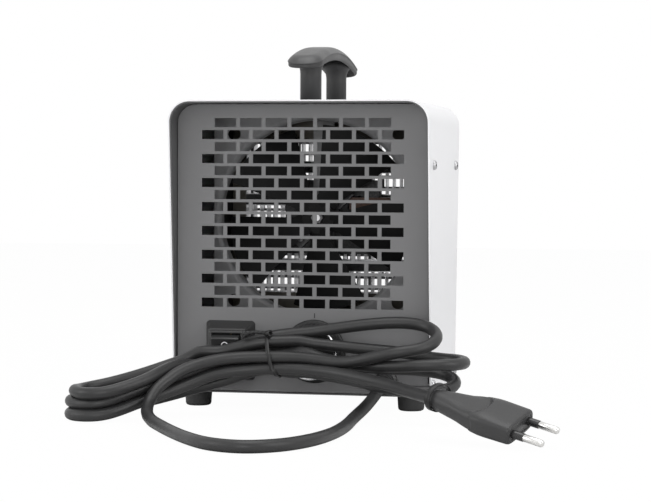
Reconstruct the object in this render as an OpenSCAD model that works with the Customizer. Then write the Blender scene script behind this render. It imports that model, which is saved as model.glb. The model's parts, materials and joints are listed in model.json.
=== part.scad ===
// Portable fan heater: a white sheet-metal shell with a brick-pattern grille at each end,
// a fan in a square duct, a ceramic heating block, a thermostat, a rocker switch and a mains lead.
// Millimetres, +Z up, the inlet and its controls face -Y, and the feet stand on z = 0.

/* [Shell] */
// Outer width of the shell
body_w = 190; // [180:1:210]
// Height of the shell without its feet and handle
body_h = 212; // [208:1:240]
// Depth of the shell along its top
top_depth = 164; // [150:1:190]
// Depth of the shell along its bottom
bottom_depth = 126; // [124:1:146]
// Thickness of every sheet-metal piece
sheet_t = 1; // [0.8:0.1:1.2]
// Outer radius of the two top corners
corner_r = 16; // [10:1:22]
// Height of the rubber feet
foot_h = 10.5; // [8:0.5:16]
// Diameter of the rubber feet at the top
foot_d = 20; // [16:1:24]
// Distance from a foot's centre to the nearest side of the shell
foot_in = 16; // [15:1:28]
// How far the panel lies inside the shell's bottom edge
bottom_recess = 1; // [0.5:0.5:3]
// Gap round the panel's edge
edge_gap = 0.6; // [0.4:0.1:0.9]
// Depth of the lining band behind the panel's face
lining_back = 12; // [11:1:16]

/* [Grille] */
// Number of rows of slots
slot_rows = 16; // [8:1:16]
// Number of slots in a full row
row_slots = 8; // [4:1:8]
// Width of the metal left between neighbouring slots
slot_bar = 2.95; // [2.5:0.05:6]
// Height of a slot
slot_h = 6.6; // [4:0.2:7.4]
// Distance from the panel's side to the first slot of a full row
grille_in = 18.1; // [16:0.1:22]
// Distance between rows, centre to centre
row_pitch = 8.7; // [8:0.1:8.9]
// Distance from the shell's top to the first row
grille_drop = 12.5; // [11:0.5:16]

/* [Handle] */
// Height of the handle's crest above the shell
handle_h = 41.5; // [38:0.5:60]
// Distance between the two posts
post_gap = 97; // [85:1:110]
// Diameter of a post
post_d = 15.5; // [12:0.5:18]
// Width of the grip
grip_w = 26; // [24:0.5:32]
// Length of the grip
grip_len = 158; // [140:1:162]
// Radius of the grip's arch
grip_arch_r = 280; // [240:1:340]
// Height of the grip from its crest to its rim
grip_t = 9; // [8:0.5:10]
// Sideways place of the handle
handle_x = 3.5; // [-6:0.5:6]

/* [Fan] */
// Distance from the square air duct to the lining on each side
duct_side = 15.5; // [12:0.5:16]
// Width of the fan plate left beside the air opening
plate_rim = 5; // [4.5:0.5:9]
// Height of the fan's axis above the shell's bottom
fan_rise = 126.5; // [118:0.5:130]
// Distance from the inlet panel's face to the fan plate
plate_depth = 50; // [45:1:52]
// Distance from the fan plate's corner holes to its edges
corner_in = 15.25; // [12:0.25:17]
// Number of fan blades
blades = 5; // [3:1:7]
// Gap between the fan's tips and the air opening
tip_gap = 3; // [3:0.5:10]
// Pitch angle of the blades
blade_pitch = 20; // [16:1:22]
// Width of a blade along its chord
blade_chord = 70; // [50:1:72]
// Diameter of the fan's hub
hub_d = 24; // [18:1:28]
// Diameter of the motor shaft
shaft_d = 5; // [4:0.5:6]

/* [Controls] */
// Height of the switch and the knob above the shell's bottom
control_rise = 31; // [28:0.5:36]
// Sideways place of the switch
switch_x = -52.4; // [-58:0.2:-44]
// Sideways place of the knob
knob_x = 9.7; // [0:0.1:20]
// Diameter of the knob's skirt
knob_d = 46; // [36:1:50]
// Height of the knob over the panel
knob_h = 17; // [14:0.5:24]
// Width of the switch's frame
bezel_w = 25.7; // [24:0.1:28]
// Height of the switch's frame
bezel_h = 30.5; // [29:0.1:34]
// How far the switch's hood stands off the panel
hood_h = 13; // [10:0.5:16]
// Tilt of the rocker in its off position
rocker_tilt = 6; // [3:0.5:7]

/* [Lead] */
// Diameter of the mains lead
cord_d = 8.4; // [6:0.1:8.6]
// Distance from the lead's gland to the nearest side of the shell
gland_in = 32.6; // [26:0.2:38]
// Height of the gland above the shell's bottom
gland_rise = 11.5; // [11:0.5:16]
// Diameter of a plug pin
pin_d = 4.8; // [4:0.1:5]
// Length of a plug pin
pin_len = 22; // [17:0.5:24]
// Distance between the plug's pins
pin_pitch = 19; // [17:0.5:21]

/* [Hidden] */
$fn = 64;

// Small running clearances
run_gap = 0.05;
fit_gap = 0.3;

// Shell
top_z = foot_h + body_h;
top_y = top_depth / 2;
bottom_y = bottom_depth / 2;
panel_y = bottom_y - bottom_recess;
inner_w = body_w - 2 * sheet_t;
lined_w = inner_w - 2 * sheet_t;
panel_w = lined_w - 2 * edge_gap;
panel_z = foot_h + sheet_t + edge_gap;
panel_top = top_z - 2 * sheet_t - edge_gap;
slot_pitch = (panel_w - 2 * grille_in + slot_bar) / row_slots;
slot_w = slot_pitch - slot_bar;
flange_depth = 11;
base_flange_h = 21;
lining_z = foot_h + base_flange_h + edge_gap;
lining_inset = 1;
side_screw_z = [foot_h + 9, foot_h + 166];
side_screw_y = panel_y - 5;
screw_d = 3.5;
screw_head_d = 7;
screw_head_h = 2.2;
foot_x = body_w / 2 - foot_in;
foot_y = panel_y - foot_d / 2;

// Handle
handle_z = top_z + handle_h;
arch_z = handle_z - grip_arch_r;
grip_corner = 12;
grip_lip = 2.4;
grip_web = 4;
post_top = handle_z - 9;
post_flare = 6;
handle_screw_d = 5;
handle_nut_d = 9;

// Fan, duct and motor, placed along Y
fan_z = foot_h + fan_rise;
plate_w = lined_w - 2 * duct_side;
opening_d = plate_w - 2 * plate_rim;
corner_pitch = plate_w - 2 * corner_in;
fan_d = opening_d - 2 * tip_gap;
blade_t = 1.2;
blade_camber_r = 110;
blade_root = 8;
blade_gap = 22;
fan_turn = -11;
plate_y = -panel_y + plate_depth;
lip_r = 4;
collar_depth = 6;
duct_end = panel_y - sheet_t;
impeller_y = plate_y + 14;
hub_len = 12;
strap_y = plate_y + 30.5;
strap_t = 1.5;
core_y = strap_y + strap_t;
core_t = 13;
core_w = 72;
core_h = 56;
core_left = 30;
window_x = 18;
window_w = 12;
window_h = 32;
mount_rise = 21;
bridge_reach = 17;
mount_hole_d = 3.6;
bearing_step = 6;
bearing_t = 2;
heater_y = core_y + core_t + 8;
heater_t = duct_end - 5 - heater_y;
bore_d = 27;
duct_in = plate_w - 2 * sheet_t;
tab_w = duct_side - 3.5;
rivet_d = 3.2;
rivet_x = (plate_w + tab_w) / 2;
rivet_rise = 45;

// Heating block
frame_w = duct_in - 2 * fit_gap;
block_side = 10.2;
block_end = 17.2;
block_w = frame_w - 2 * block_side;
block_h = frame_w - 2 * block_end;
bar_rows = 4;
bar_h = 8;
bank_h = (block_h - bar_rows * bar_h) / (bar_rows + 1);
fin_t = 0.6;
fin_pitch = 5.5;

// Controls
control_z = foot_h + control_rise;
knob_z = control_z + 0.5;
stem_d = 6;
bushing_d = 9;
hood_slope = 5.4;
hood_front_w = bezel_w + 2;
hood_front_h = bezel_h + 2;
switch_w = bezel_w - 3.7;
switch_height = bezel_h - 3.5;
bezel_t = 2;
well_w = bezel_w - 5.1;
well_h = bezel_h - 4.7;
rocker_w = well_w - 2 * fit_gap;
rocker_r = well_h / 2 - fit_gap;
rocker_y = -panel_y - hood_h + 1;

// Lead
gland_x = body_w / 2 - gland_in;
gland_z = foot_h + gland_rise;
gland_d = 16;
// Route of the free part of the lead, from the gland round the front loop to the hank
lead_route = [[gland_x, -panel_y - 2, gland_z], [gland_x, -73, gland_z], [gland_x - 0.2, -86, gland_z - 2.2],
    [gland_x - 2.9, -99, gland_z - 8.5], [55, -113, 8], [51, -128, 5], [51, -150, 4.3], [53.5, -178, 4.3],
    [54, -206, 4.3], [51.5, -236, 4.3], [45, -266, 4.3], [33, -290, 4.3], [14, -302, 4.3], [-8, -295, 4.3],
    [-28, -272, 4.3], [-47, -242, 4.3], [-63, -213, 4.3], [-77, -187, 4.8], [-86, -167, 8], [-87, -156, 15],
    [-83, -148, 23], [-75, -138, 30.5], [-62, -127, 36.5], [-44, -118.5, 40.5]];
relief_end = 6;
// The strands of the hank where its tie goes round them, as (y, z)
tie_x = -17.5;
tie_w = 3.4;
tie_strands = [[-113.5, 42], [-98, 52.5], [-107, 50.5], [-96.5, 43.6], [-105, 41.5], [-103.5, 33], [-112.5, 33.4]];
// Ends of the hank's loops: the left ones lie on each other, the right ones fan out
left_ends = [[-147, -170, 4.6], [-148, -150, 4.6], [-146, -170, 24], [-140, -128, 29], [-120, -125, 4.6]];
right_ends = [
    [[82, -135, 49], [84, -89, 66], [102, -128, 52], [102, -98, 62], [107, -113, 57]],
    [[103, -138, 41], [103, -90, 41], [122, -130, 41], [122, -100, 41]],
    [[97, -143, 23], [97, -95, 33], [115, -136, 25], [116, -103, 31]]];
// Route of the last straight part, from the hank to the plug
tail_route = [[14, -117, 34.9], [33, -124, 33.4], [55, -138, 31.5], [80, -160, 29.2], [101, -188, 27.6],
    [119, -214, 27]];
plug_neck = [119, -214, 27];
plug_turn = [0, 12.7, -22];
plug_roll = 20;
plug_len = 64;
plug_w = 32;
plug_t = 14;

// Frames: a flat shape given as (x, z) is carried along Y, or one given as (y, z) along X
module along_y(from, to) translate([0, to, 0]) rotate([90, 0, 0]) linear_extrude(to - from) children();
module along_x(from, to) translate([from, 0, 0]) rotate([90, 0, 90]) linear_extrude(to - from) children();
module turned_y(x, y, z) translate([x, y, z]) rotate([90, 0, 0]) children();

// Front outline of the shell: straight sides, two round top corners
module arch_outline(w, bottom, top, r) {
    translate([-w / 2, bottom]) square([w, top - bottom - r]);
    translate([-w / 2 + r, bottom]) square([w - 2 * r, top - bottom]);
    for (side = [-1, 1]) translate([side * (w / 2 - r), top - r]) circle(r);
}

// Side outline of the shell: both ends lean outwards to the top
module raked_outline(inset) {
    polygon([[-bottom_y + inset, foot_h], [bottom_y - inset, foot_h],
        [top_y - inset, top_z], [-top_y + inset, top_z]]);
}

module arch_band(outer_w, outer_top, outer_r, bottom) {
    difference() {
        arch_outline(outer_w, bottom, outer_top, outer_r);
        arch_outline(outer_w - 2 * sheet_t, bottom - 1, outer_top - sheet_t, outer_r - sheet_t);
    }
}

module side_screw_places() {
    for (side = [-1, 1], end = [-1, 1], z = side_screw_z)
        translate([side * body_w / 2, end * side_screw_y, z]) rotate([0, side * 90, 0]) children();
}

module foot_places() {
    for (x = [-foot_x, foot_x], y = [-foot_y, foot_y]) translate([x, y, 0]) children();
}

module post_places() {
    for (y = [-post_gap / 2, post_gap / 2]) translate([handle_x, y, 0]) children();
}

module shell() {
    color("whitesmoke") difference() {
        intersection() {
            along_y(-top_y - 1, top_y + 1) arch_band(body_w, top_z, corner_r, foot_h);
            along_x(-body_w, body_w) raked_outline(0);
        }
        side_screw_places() cylinder(h = 3 * sheet_t, d = screw_d + 2 * run_gap, center = true);
        post_places() translate([0, 0, top_z - 2 * sheet_t])
            cylinder(h = 3 * sheet_t, d = handle_screw_d + 2 * run_gap);
    }
}

module base_plate() {
    color("dimgray") difference() {
        union() {
            translate([-inner_w / 2, -panel_y, foot_h]) cube([inner_w, 2 * panel_y, sheet_t]);
            for (side = [-1, 1]) translate([side * (inner_w - sheet_t) / 2, 0, foot_h + base_flange_h / 2])
                cube([sheet_t, 2 * (panel_y - sheet_t), base_flange_h], center = true);
        }
        side_screw_places() cylinder(h = 6 * sheet_t, d = screw_d + 2 * run_gap, center = true);
        foot_places() translate([0, 0, foot_h - 1]) cylinder(h = 2 + sheet_t, d = screw_d + 2 * run_gap);
    }
}

// Dark band that lines the raked mouth of the shell, notched for the handle's screws
module lining(turn) {
    color("dimgray") difference() {
        rotate([0, 0, turn]) intersection() {
            along_y(-top_y, -panel_y + lining_back)
                arch_band(inner_w, top_z - sheet_t, corner_r - sheet_t, lining_z);
            along_x(-body_w, body_w) raked_outline(lining_inset);
        }
        side_screw_places() cylinder(h = 6 * sheet_t, d = screw_d + 2 * run_gap, center = true);
        post_places() translate([0, 0, top_z - 3 * sheet_t])
            cylinder(h = 3 * sheet_t, d = handle_nut_d + 2 * fit_gap);
    }
}

module inlet_lining() lining(0);
module outlet_lining() lining(180);

// Staggered slots: a full row under each row that has one slot less
module brick_slots() {
    first_z = top_z - grille_drop - slot_h / 2;
    for (row = [0 : slot_rows - 1]) {
        count = row_slots - 1 + row % 2;
        for (i = [0 : count - 1])
            translate([(i - (count - 1) / 2) * slot_pitch - slot_w / 2, first_z - row * row_pitch - slot_h / 2])
                square([slot_w, slot_h]);
    }
}

// Flat panel with a flange behind each straight edge; its own cut-outs come as children
module panel_sheet() {
    difference() {
        union() {
            along_y(-panel_y, -panel_y + sheet_t) difference() {
                arch_outline(panel_w, panel_z, panel_top, corner_r - 2 * sheet_t - edge_gap);
                brick_slots();
                children();
            }
            for (side = [-1, 1])
                translate([side * (panel_w - sheet_t) / 2 - sheet_t / 2, -panel_y, panel_z])
                    cube([sheet_t, flange_depth, top_z - corner_r - panel_z]);
        }
        side_screw_places() cylinder(h = 9 * sheet_t, d = screw_d + 2 * run_gap, center = true);
    }
}

module inlet_panel() {
    color("gray") panel_sheet() {
        translate([switch_x, control_z]) square([switch_w + 2, switch_height + 2], center = true);
        translate([knob_x, knob_z]) circle(d = bushing_d + 2 * run_gap);
        translate([gland_x, gland_z]) circle(d = gland_d - 3 + 2 * run_gap);
    }
}

module outlet_panel() {
    color("gray") rotate([0, 0, 180]) panel_sheet() {
        rivet_places_flat() circle(d = rivet_d + 2 * run_gap);
    }
}

module side_screws() {
    color("silver") side_screw_places() {
        cylinder(h = screw_head_h - 1, d = screw_head_d);
        translate([0, 0, screw_head_h - 1]) cylinder(h = 1, d1 = screw_head_d, d2 = screw_head_d - 2.4);
        translate([0, 0, -8]) cylinder(h = 8, d = screw_d);
    }
}

// Section of the arched grip, as (radius, sideways): a flat crown with rounded shoulders
module grip_section(top_r) {
    shoulder = [[0, 7.5], [-0.3, 5], [-1.2, 3], [-2.8, 1.2], [-4.2, 0.2], [-5, 0],
        [0.6 - grip_t, 0], [-grip_t, 0.6]];
    polygon([
        for (i = [0 : len(shoulder) - 1]) [top_r + shoulder[i][0], grip_w / 2 - shoulder[i][1]],
        for (i = [len(shoulder) - 1 : -1 : 0]) [top_r + shoulder[i][0], shoulder[i][1] - grip_w / 2]]);
}

// Section of the hollow under the crown
module hollow_section(top_r) {
    translate([top_r - 2 * grip_t, grip_lip - grip_w / 2]) square([2 * grip_t - grip_web, grip_w - 2 * grip_lip]);
}

// Outline of the grip from above, drawn in by a distance
module grip_plan(inset) {
    w = grip_w - 2 * inset;
    l = grip_len - 2 * inset;
    corner = grip_corner - inset;
    square([w - 2 * corner, l], center = true);
    square([w, l - 2 * corner], center = true);
    for (x = [-1, 1], y = [-1, 1]) translate([x * (w / 2 - corner), y * (l / 2 - corner)]) circle(corner);
}

// Carried all the way round the X axis of the arch
module arched() {
    translate([0, 0, arch_z]) rotate([0, 90, 0]) rotate_extrude($fn = 256) children();
}

module handle() {
    color("black") translate([handle_x, 0, 0]) difference() {
        union() {
            difference() {
                intersection() {
                    arched() grip_section(grip_arch_r);
                    translate([0, 0, top_z + 1]) linear_extrude(handle_h + 1) grip_plan(0);
                }
                intersection() {
                    arched() hollow_section(grip_arch_r);
                    translate([0, 0, top_z + 1]) linear_extrude(handle_h + 1) grip_plan(grip_lip);
                }
            }
            for (end = [-1, 1]) translate([0, end * post_gap / 2, top_z]) {
                cylinder(h = post_top - top_z, d = post_d);
                translate([0, 0, post_top - top_z - post_flare]) cylinder(h = post_flare, d1 = post_d, d2 = grip_w - 4);
            }
        }
        for (end = [-1, 1]) translate([0, end * post_gap / 2, top_z - 1])
            cylinder(h = 16, d = handle_screw_d - 1);
    }
}

module handle_screws() {
    color("silver") post_places() {
        translate([0, 0, top_z - sheet_t - 3]) cylinder(h = 3, d = handle_nut_d);
        translate([0, 0, top_z - sheet_t]) cylinder(h = sheet_t, d = handle_screw_d);
        translate([0, 0, top_z]) cylinder(h = 13, d = handle_screw_d - 1);
    }
}

module feet() {
    color("black") foot_places() rotate_extrude() difference() {
        polygon([[0, 0], [foot_d / 2 - 2.2, 0], [foot_d / 2 - 1.1, 0.6], [foot_d / 2 - 0.6, 1.8],
            [foot_d / 2, foot_h], [0, foot_h]]);
        square([4.2, 5]);
        square([screw_d / 2 + run_gap, foot_h + 1]);
    }
}

module foot_screws() {
    color("silver") foot_places() {
        translate([0, 0, 2.6]) cylinder(h = 2.4, d = screw_head_d);
        translate([0, 0, 5]) cylinder(h = foot_h - 5 + sheet_t + 3, d = screw_d);
    }
}

module corner_holes(pitch) {
    for (x = [-pitch / 2, pitch / 2], z = [-pitch / 2, pitch / 2]) translate([x, z]) children();
}

module fan_plate() {
    lip_inner = opening_d / 2;
    color("gray") translate([0, 0, fan_z]) {
        along_y(plate_y, plate_y + sheet_t) difference() {
            square(plate_w, center = true);
            circle(r = lip_inner + lip_r, $fn = 128);
            corner_holes(corner_pitch) circle(d = 9.5);
        }
        turned_y(0, plate_y, 0) mirror([0, 0, 1]) rotate_extrude($fn = 128) {
            translate([lip_inner, lip_r]) square([sheet_t, collar_depth]);
            intersection() {
                translate([lip_inner + lip_r, lip_r]) difference() {
                    circle(lip_r);
                    circle(lip_r - sheet_t);
                }
                translate([lip_inner, 0]) square(lip_r);
            }
        }
    }
}

module rivet_places_flat() {
    for (side = [-1, 1], rise = [-rivet_rise, rivet_rise]) translate([side * rivet_x, fan_z + rise]) children();
}

// Square air duct behind the fan plate, with four tabs to the outlet panel
module duct() {
    color("darkgray") {
        along_y(plate_y + sheet_t, duct_end) translate([0, fan_z]) difference() {
            square(plate_w, center = true);
            square(duct_in, center = true);
        }
        along_y(duct_end - sheet_t, duct_end) difference() {
            rivet_places_flat() square([tab_w, 12], center = true);
            rivet_places_flat() circle(d = rivet_d + 2 * run_gap);
        }
    }
}

module duct_rivets() {
    color("silver") for (side = [-1, 1], rise = [-rivet_rise, rivet_rise])
        turned_y(side * rivet_x, panel_y, fan_z + rise) {
            cylinder(h = 2 * sheet_t, d = rivet_d);
            translate([0, 0, -1]) cylinder(h = 1, d1 = 4, d2 = 6.4);
            translate([0, 0, 2 * sheet_t]) cylinder(h = 0.8, d = 5);
        }
}

// Strap across the duct that carries the motor
module motor_strap() {
    strap_w = 16;
    color("silver") translate([0, 0, fan_z]) difference() {
        union() {
            translate([-strap_w / 2, strap_y, -duct_in / 2]) cube([strap_w, strap_t, duct_in]);
            for (end = [-1, 1]) translate([-strap_w / 2, strap_y, end * (duct_in - strap_t) / 2 - strap_t / 2])
                cube([strap_w, 10, strap_t]);
        }
        turned_y(0, strap_y + 5, 0) cylinder(h = 10, d = 15);
        for (end = [-1, 1]) turned_y(0, strap_y + 5, end * mount_rise) cylinder(h = 10, d = mount_hole_d);
    }
}

module motor_core() {
    color("slategray") along_y(core_y, core_y + core_t) translate([0, fan_z]) difference() {
        translate([-core_left, -core_h / 2]) square([core_w, core_h]);
        circle(d = bore_d);
        translate([window_x, -window_h / 2]) square([window_w, window_h]);
        for (end = [-1, 1]) translate([0, end * mount_rise]) circle(d = mount_hole_d);
        for (end = [-1, 1]) translate([end * bridge_reach, end * bridge_reach]) circle(d = mount_hole_d);
    }
}

module motor_coil() {
    coil_x = (window_x + window_w + core_w - core_left) / 2 - 0.3;
    color("peru") translate([0, core_y + core_t / 2, fan_z]) difference() {
        translate([coil_x, 0, 0]) cube([31, core_t + 6, window_h - 2], center = true);
        translate([coil_x + 0.3, 0, 0]) cube([window_w + 0.4, core_t + 0.2, window_h + 2], center = true);
    }
}

// Diagonal bearing bridge on two legs, with a boss for the shaft
module bearing_bridge() {
    difference() {
        union() {
            rotate([0, 0, 45]) translate([-29, -5, bearing_step - bearing_t]) cube([58, 10, bearing_t]);
            for (end = [-1, 1]) translate([end * bridge_reach, end * bridge_reach, 0])
                cylinder(h = bearing_step, d = 7);
            translate([0, 0, bearing_step - bearing_t - 2]) cylinder(h = bearing_t + 4, d = 12);
        }
        translate([0, 0, -1]) cylinder(h = 20, d = shaft_d + 2 * run_gap);
        for (end = [-1, 1]) translate([end * bridge_reach, end * bridge_reach, -1])
            cylinder(h = 20, d = mount_hole_d);
    }
}

module front_bearing() color("silver") turned_y(0, core_y, fan_z) bearing_bridge();

module rear_bearing() {
    color("silver") translate([0, core_y + core_t, fan_z]) rotate([-90, 0, 0]) mirror([0, 1, 0]) bearing_bridge();
}

module motor_screws() {
    color("dimgray") {
        for (end = [-1, 1])
            turned_y(end * bridge_reach, core_y + core_t + bearing_step + 1, fan_z + end * bridge_reach)
                cylinder(h = core_t + 2 * bearing_step + 2, d = 3.5);
        for (end = [-1, 1]) turned_y(0, core_y + core_t + 1.5, fan_z + end * mount_rise) {
            cylinder(h = core_t + strap_t + 3.5, d = 3.5);
            cylinder(h = 1.5, d = 6.5);
        }
        for (end = [-1, 1]) turned_y(0, strap_y, fan_z + end * mount_rise) cylinder(h = 2, d = 6.5);
    }
}

module motor_shaft() {
    from = impeller_y - hub_len / 2 - 5;
    to = core_y + core_t + bearing_step + 1;
    color("silver") turned_y(0, to, fan_z) cylinder(h = to - from, d = shaft_d);
}

module rotor() {
    color("slategray") turned_y(0, core_y + core_t, fan_z) difference() {
        cylinder(h = core_t, d = bore_d - 1.2);
        translate([0, 0, -1]) cylinder(h = core_t + 2, d = shaft_d);
    }
}

// One pressed blade: a cambered sheet set at its pitch and cut to a fan-shaped sector with a narrow root
module blade() {
    camber = blade_chord * blade_chord / (8 * blade_camber_r);
    spread = tan(180 / blades - blade_gap / 2);
    intersection() {
        translate([0, 0, hub_d / 2 - 3]) rotate([0, 0, blade_pitch]) translate([0, blade_camber_r - camber, 0])
            intersection() {
                difference() {
                    cylinder(h = fan_d, r = blade_camber_r, $fn = 128);
                    translate([0, 0, -1]) cylinder(h = fan_d + 2, r = blade_camber_r - blade_t, $fn = 128);
                }
                translate([-blade_chord / 2, -blade_camber_r - 1, 0]) cube([blade_chord, blade_camber_r, fan_d]);
            }
        along_y(-fan_d, fan_d) intersection() {
            circle(d = fan_d, $fn = 128);
            polygon([[-blade_root, 0], [blade_root, 0], [blade_root, blade_root / spread], [fan_d * spread, fan_d],
                [-fan_d * spread, fan_d], [-blade_root, blade_root / spread]]);
        }
    }
}

module impeller() {
    color("#222222") translate([0, impeller_y, fan_z]) difference() {
        union() {
            turned_y(0, hub_len / 2, 0) cylinder(h = hub_len, d = hub_d);
            for (i = [0 : blades - 1]) rotate([0, 90 - fan_turn - i * 360 / blades, 0]) blade();
        }
        turned_y(0, hub_len, 0) cylinder(h = 2 * hub_len, d = shaft_d);
    }
}

module fan_nut() {
    color("silver") turned_y(0, impeller_y - hub_len / 2, fan_z) difference() {
        cylinder(h = 4, d = 9, $fn = 6);
        translate([0, 0, -1]) cylinder(h = 6, d = shaft_d);
    }
}

module heater_frame() {
    color("tan") along_y(heater_y, heater_y + heater_t) translate([0, fan_z]) difference() {
        square(frame_w, center = true);
        square([block_w, block_h], center = true);
    }
}

// Banks of thin fins between the ceramic bars
module heater_fins() {
    count = floor(block_w / fin_pitch);
    step = (block_w - fin_t) / count;
    color("gainsboro") along_y(heater_y + 1, heater_y + heater_t - 1) translate([-block_w / 2, fan_z - block_h / 2])
        for (bank = [0 : bar_rows]) translate([0, bank * (bank_h + bar_h)]) {
            for (z = [0, bank_h - fin_t]) translate([0, z]) square([block_w, fin_t]);
            for (i = [0 : count]) translate([i * step, 0]) square([fin_t, bank_h]);
        }
}

module ceramic_bars() {
    color("dimgray") along_y(heater_y + 1, heater_y + heater_t - 1) translate([-block_w / 2, fan_z - block_h / 2])
        for (bar = [1 : bar_rows]) translate([0, bar * bank_h + (bar - 1) * bar_h]) square([block_w, bar_h]);
}

module heater_terminals() {
    color("gold") for (bar = [1 : bar_rows])
        translate([block_w / 2 - 4, heater_y - 7, fan_z - block_h / 2 + bar * bank_h + (bar - 0.5) * bar_h - 3])
            cube([0.8, 8, 6]);
}

module thermostat() {
    color("darkgray") turned_y(knob_x, -panel_y + sheet_t, knob_z) difference() {
        union() {
            translate([0, 0, -20]) cylinder(h = 20, d = 32);
            cylinder(h = sheet_t + 5, d = bushing_d);
        }
        translate([0, 0, -12]) cylinder(h = 30, d = stem_d + 2 * run_gap);
    }
}

module thermostat_nut() {
    color("silver") turned_y(knob_x, -panel_y, knob_z) difference() {
        cylinder(h = 2.5, d = 14, $fn = 6);
        translate([0, 0, -1]) cylinder(h = 5, d = bushing_d);
    }
}

module thermostat_shaft() {
    color("silver") turned_y(knob_x, -panel_y + 12, knob_z) cylinder(h = knob_h + 9, d = stem_d);
}

// Knob: skirt, tapered drum and a sunk face, turned about its own axis
module knob() {
    color("#222222") turned_y(knob_x, -panel_y, knob_z) difference() {
        union() {
            translate([0, 0, 1]) cylinder(h = 2.6, d = knob_d);
            translate([0, 0, 3.6]) cylinder(h = knob_h - 2.6, d1 = knob_d - 5, d2 = knob_d - 7.4);
        }
        cylinder(h = 6, d = 19);
        translate([0, 0, knob_h - 0.2]) cylinder(h = 2, d = knob_d - 13);
        cylinder(h = knob_h - 3, d = stem_d);
        translate([0, 0, knob_h - 0.6]) difference() {
            cylinder(h = 2, d = knob_d);
            translate([0, 0, -1]) cylinder(h = 4, d = knob_d - 10);
        }
    }
}

module knob_ring() {
    color("silver") turned_y(knob_x, -panel_y - knob_h + 0.6, knob_z) rotate_extrude($fn = 96)
        polygon([[knob_d / 2 - 5, 0], [knob_d / 2 - 3.4, 0], [knob_d / 2 - 3.6, 1.2],
            [knob_d / 2 - 4.2, 1.8], [knob_d / 2 - 5, 1.8]]);
}

// Hood with sloping sides round the switch
module switch_hood() {
    base_w = hood_front_w + 2 * hood_slope - 2;
    base_h = hood_front_h + 2 * hood_slope;
    color("#262626") translate([switch_x, 0, control_z]) difference() {
        hull() {
            translate([0, -panel_y - 0.5, 0]) cube([base_w, 1, base_h], center = true);
            translate([0, -panel_y - hood_h + 0.5, 0]) cube([hood_front_w, 1, hood_front_h], center = true);
        }
        cube([switch_w + 0.4, 3 * panel_y, switch_height + 0.4], center = true);
    }
}

module switch_body() {
    front = -panel_y - hood_h;
    color("black") translate([switch_x, 0, control_z]) difference() {
        union() {
            translate([0, front - bezel_t / 2, 0]) cube([bezel_w, bezel_t, bezel_h], center = true);
            translate([-switch_w / 2, front, -switch_height / 2]) cube([switch_w, 28, switch_height]);
        }
        translate([-well_w / 2, front - bezel_t - 1, -well_h / 2]) cube([well_w, bezel_t + 17, well_h]);
        translate([0, rocker_y, 0]) rotate([0, 90, 0]) cylinder(h = well_w + 1, d = 3 + 2 * run_gap, center = true);
    }
}

module switch_terminals() {
    color("gold") for (x = [-5, 5], z = [-7, 7])
        translate([switch_x + x - 0.4, -panel_y - hood_h + 28, control_z + z - 3]) cube([0.8, 8, 6]);
}

// Rocker with a hollowed face and round ends, on two stub pins
module rocker() {
    face = 6.6;
    color("#1c1c1c") translate([switch_x, rocker_y, control_z]) rotate([rocker_tilt, 0, 0]) {
        intersection() {
            rotate([0, 90, 0]) cylinder(h = rocker_w, r = rocker_r, center = true);
            along_x(-rocker_w / 2 - 1, rocker_w / 2 + 1)
                polygon([[4, -7], [4, 7], [-1, rocker_r + 1], [-face, rocker_r + 1], [-face, rocker_r - 2.4],
                    [-face + 2.4, 0], [-face, -rocker_r + 2.4], [-face, -rocker_r - 1], [-1, -rocker_r - 1]]);
        }
        rotate([0, 90, 0]) cylinder(h = well_w + 0.6, d = 3, center = true);
    }
}

module terminal_block() {
    color("ivory") translate([gland_x - 26, -panel_y + 18, foot_h + sheet_t]) difference() {
        cube([34, 12, 14]);
        for (i = [0 : 2]) translate([6 + i * 11, 6, 4]) cylinder(h = 12, d = 5);
    }
}

// Gland with a tapered sleeve that follows the lead round its first bend
module gland() {
    route = smoothed(lead_route, 2);
    sleeve = [for (i = [0 : relief_end]) route[i]];
    bore = [[gland_x, -panel_y + 7, gland_z], for (i = [0 : relief_end + 1]) route[i]];
    color("black") difference() {
        union() {
            turned_y(gland_x, -panel_y + 6, gland_z) cylinder(h = 6.5, d = gland_d - 3);
            turned_y(gland_x, -panel_y, gland_z) cylinder(h = 2.5, d = gland_d);
            tube(sleeve, gland_d - 3.4, cord_d + 2.4);
        }
        tube(bore, cord_d + 0.2, cord_d + 0.2);
    }
}

module gland_nut() {
    color("dimgray") turned_y(gland_x, -panel_y + 6, gland_z) difference() {
        cylinder(h = 6 - sheet_t, d = gland_d + 2, $fn = 6);
        translate([0, 0, -1]) cylinder(h = 8, d = gland_d - 3);
    }
}

// A tube of eight sides swept along a route: each ring stands across the route at its point
function unit(v) = v / norm(v);
function heading(route, i) = unit(route[min(i + 1, len(route) - 1)] - route[max(i - 1, 0)]);
function ring(route, i, r) = let (
        ahead = heading(route, i),
        aside = unit(cross([0.13, 0.21, 1], ahead)),
        above = cross(ahead, aside))
    [for (k = [0 : 7]) route[i] + r * (cos(45 * k) * aside + sin(45 * k) * above)];
function smooth(p, i, t) = let (
        a = p[max(i - 1, 0)], b = p[i], c = p[i + 1], d = p[min(i + 2, len(p) - 1)])
    0.5 * (2 * b + (c - a) * t + (2 * a - 5 * b + 4 * c - d) * t * t + (3 * b - a - 3 * c + d) * t * t * t);
function smoothed(p, steps) = [for (i = [0 : len(p) - 2], s = [0 : steps - 1]) smooth(p, i, s / steps),
    p[len(p) - 1]];

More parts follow.
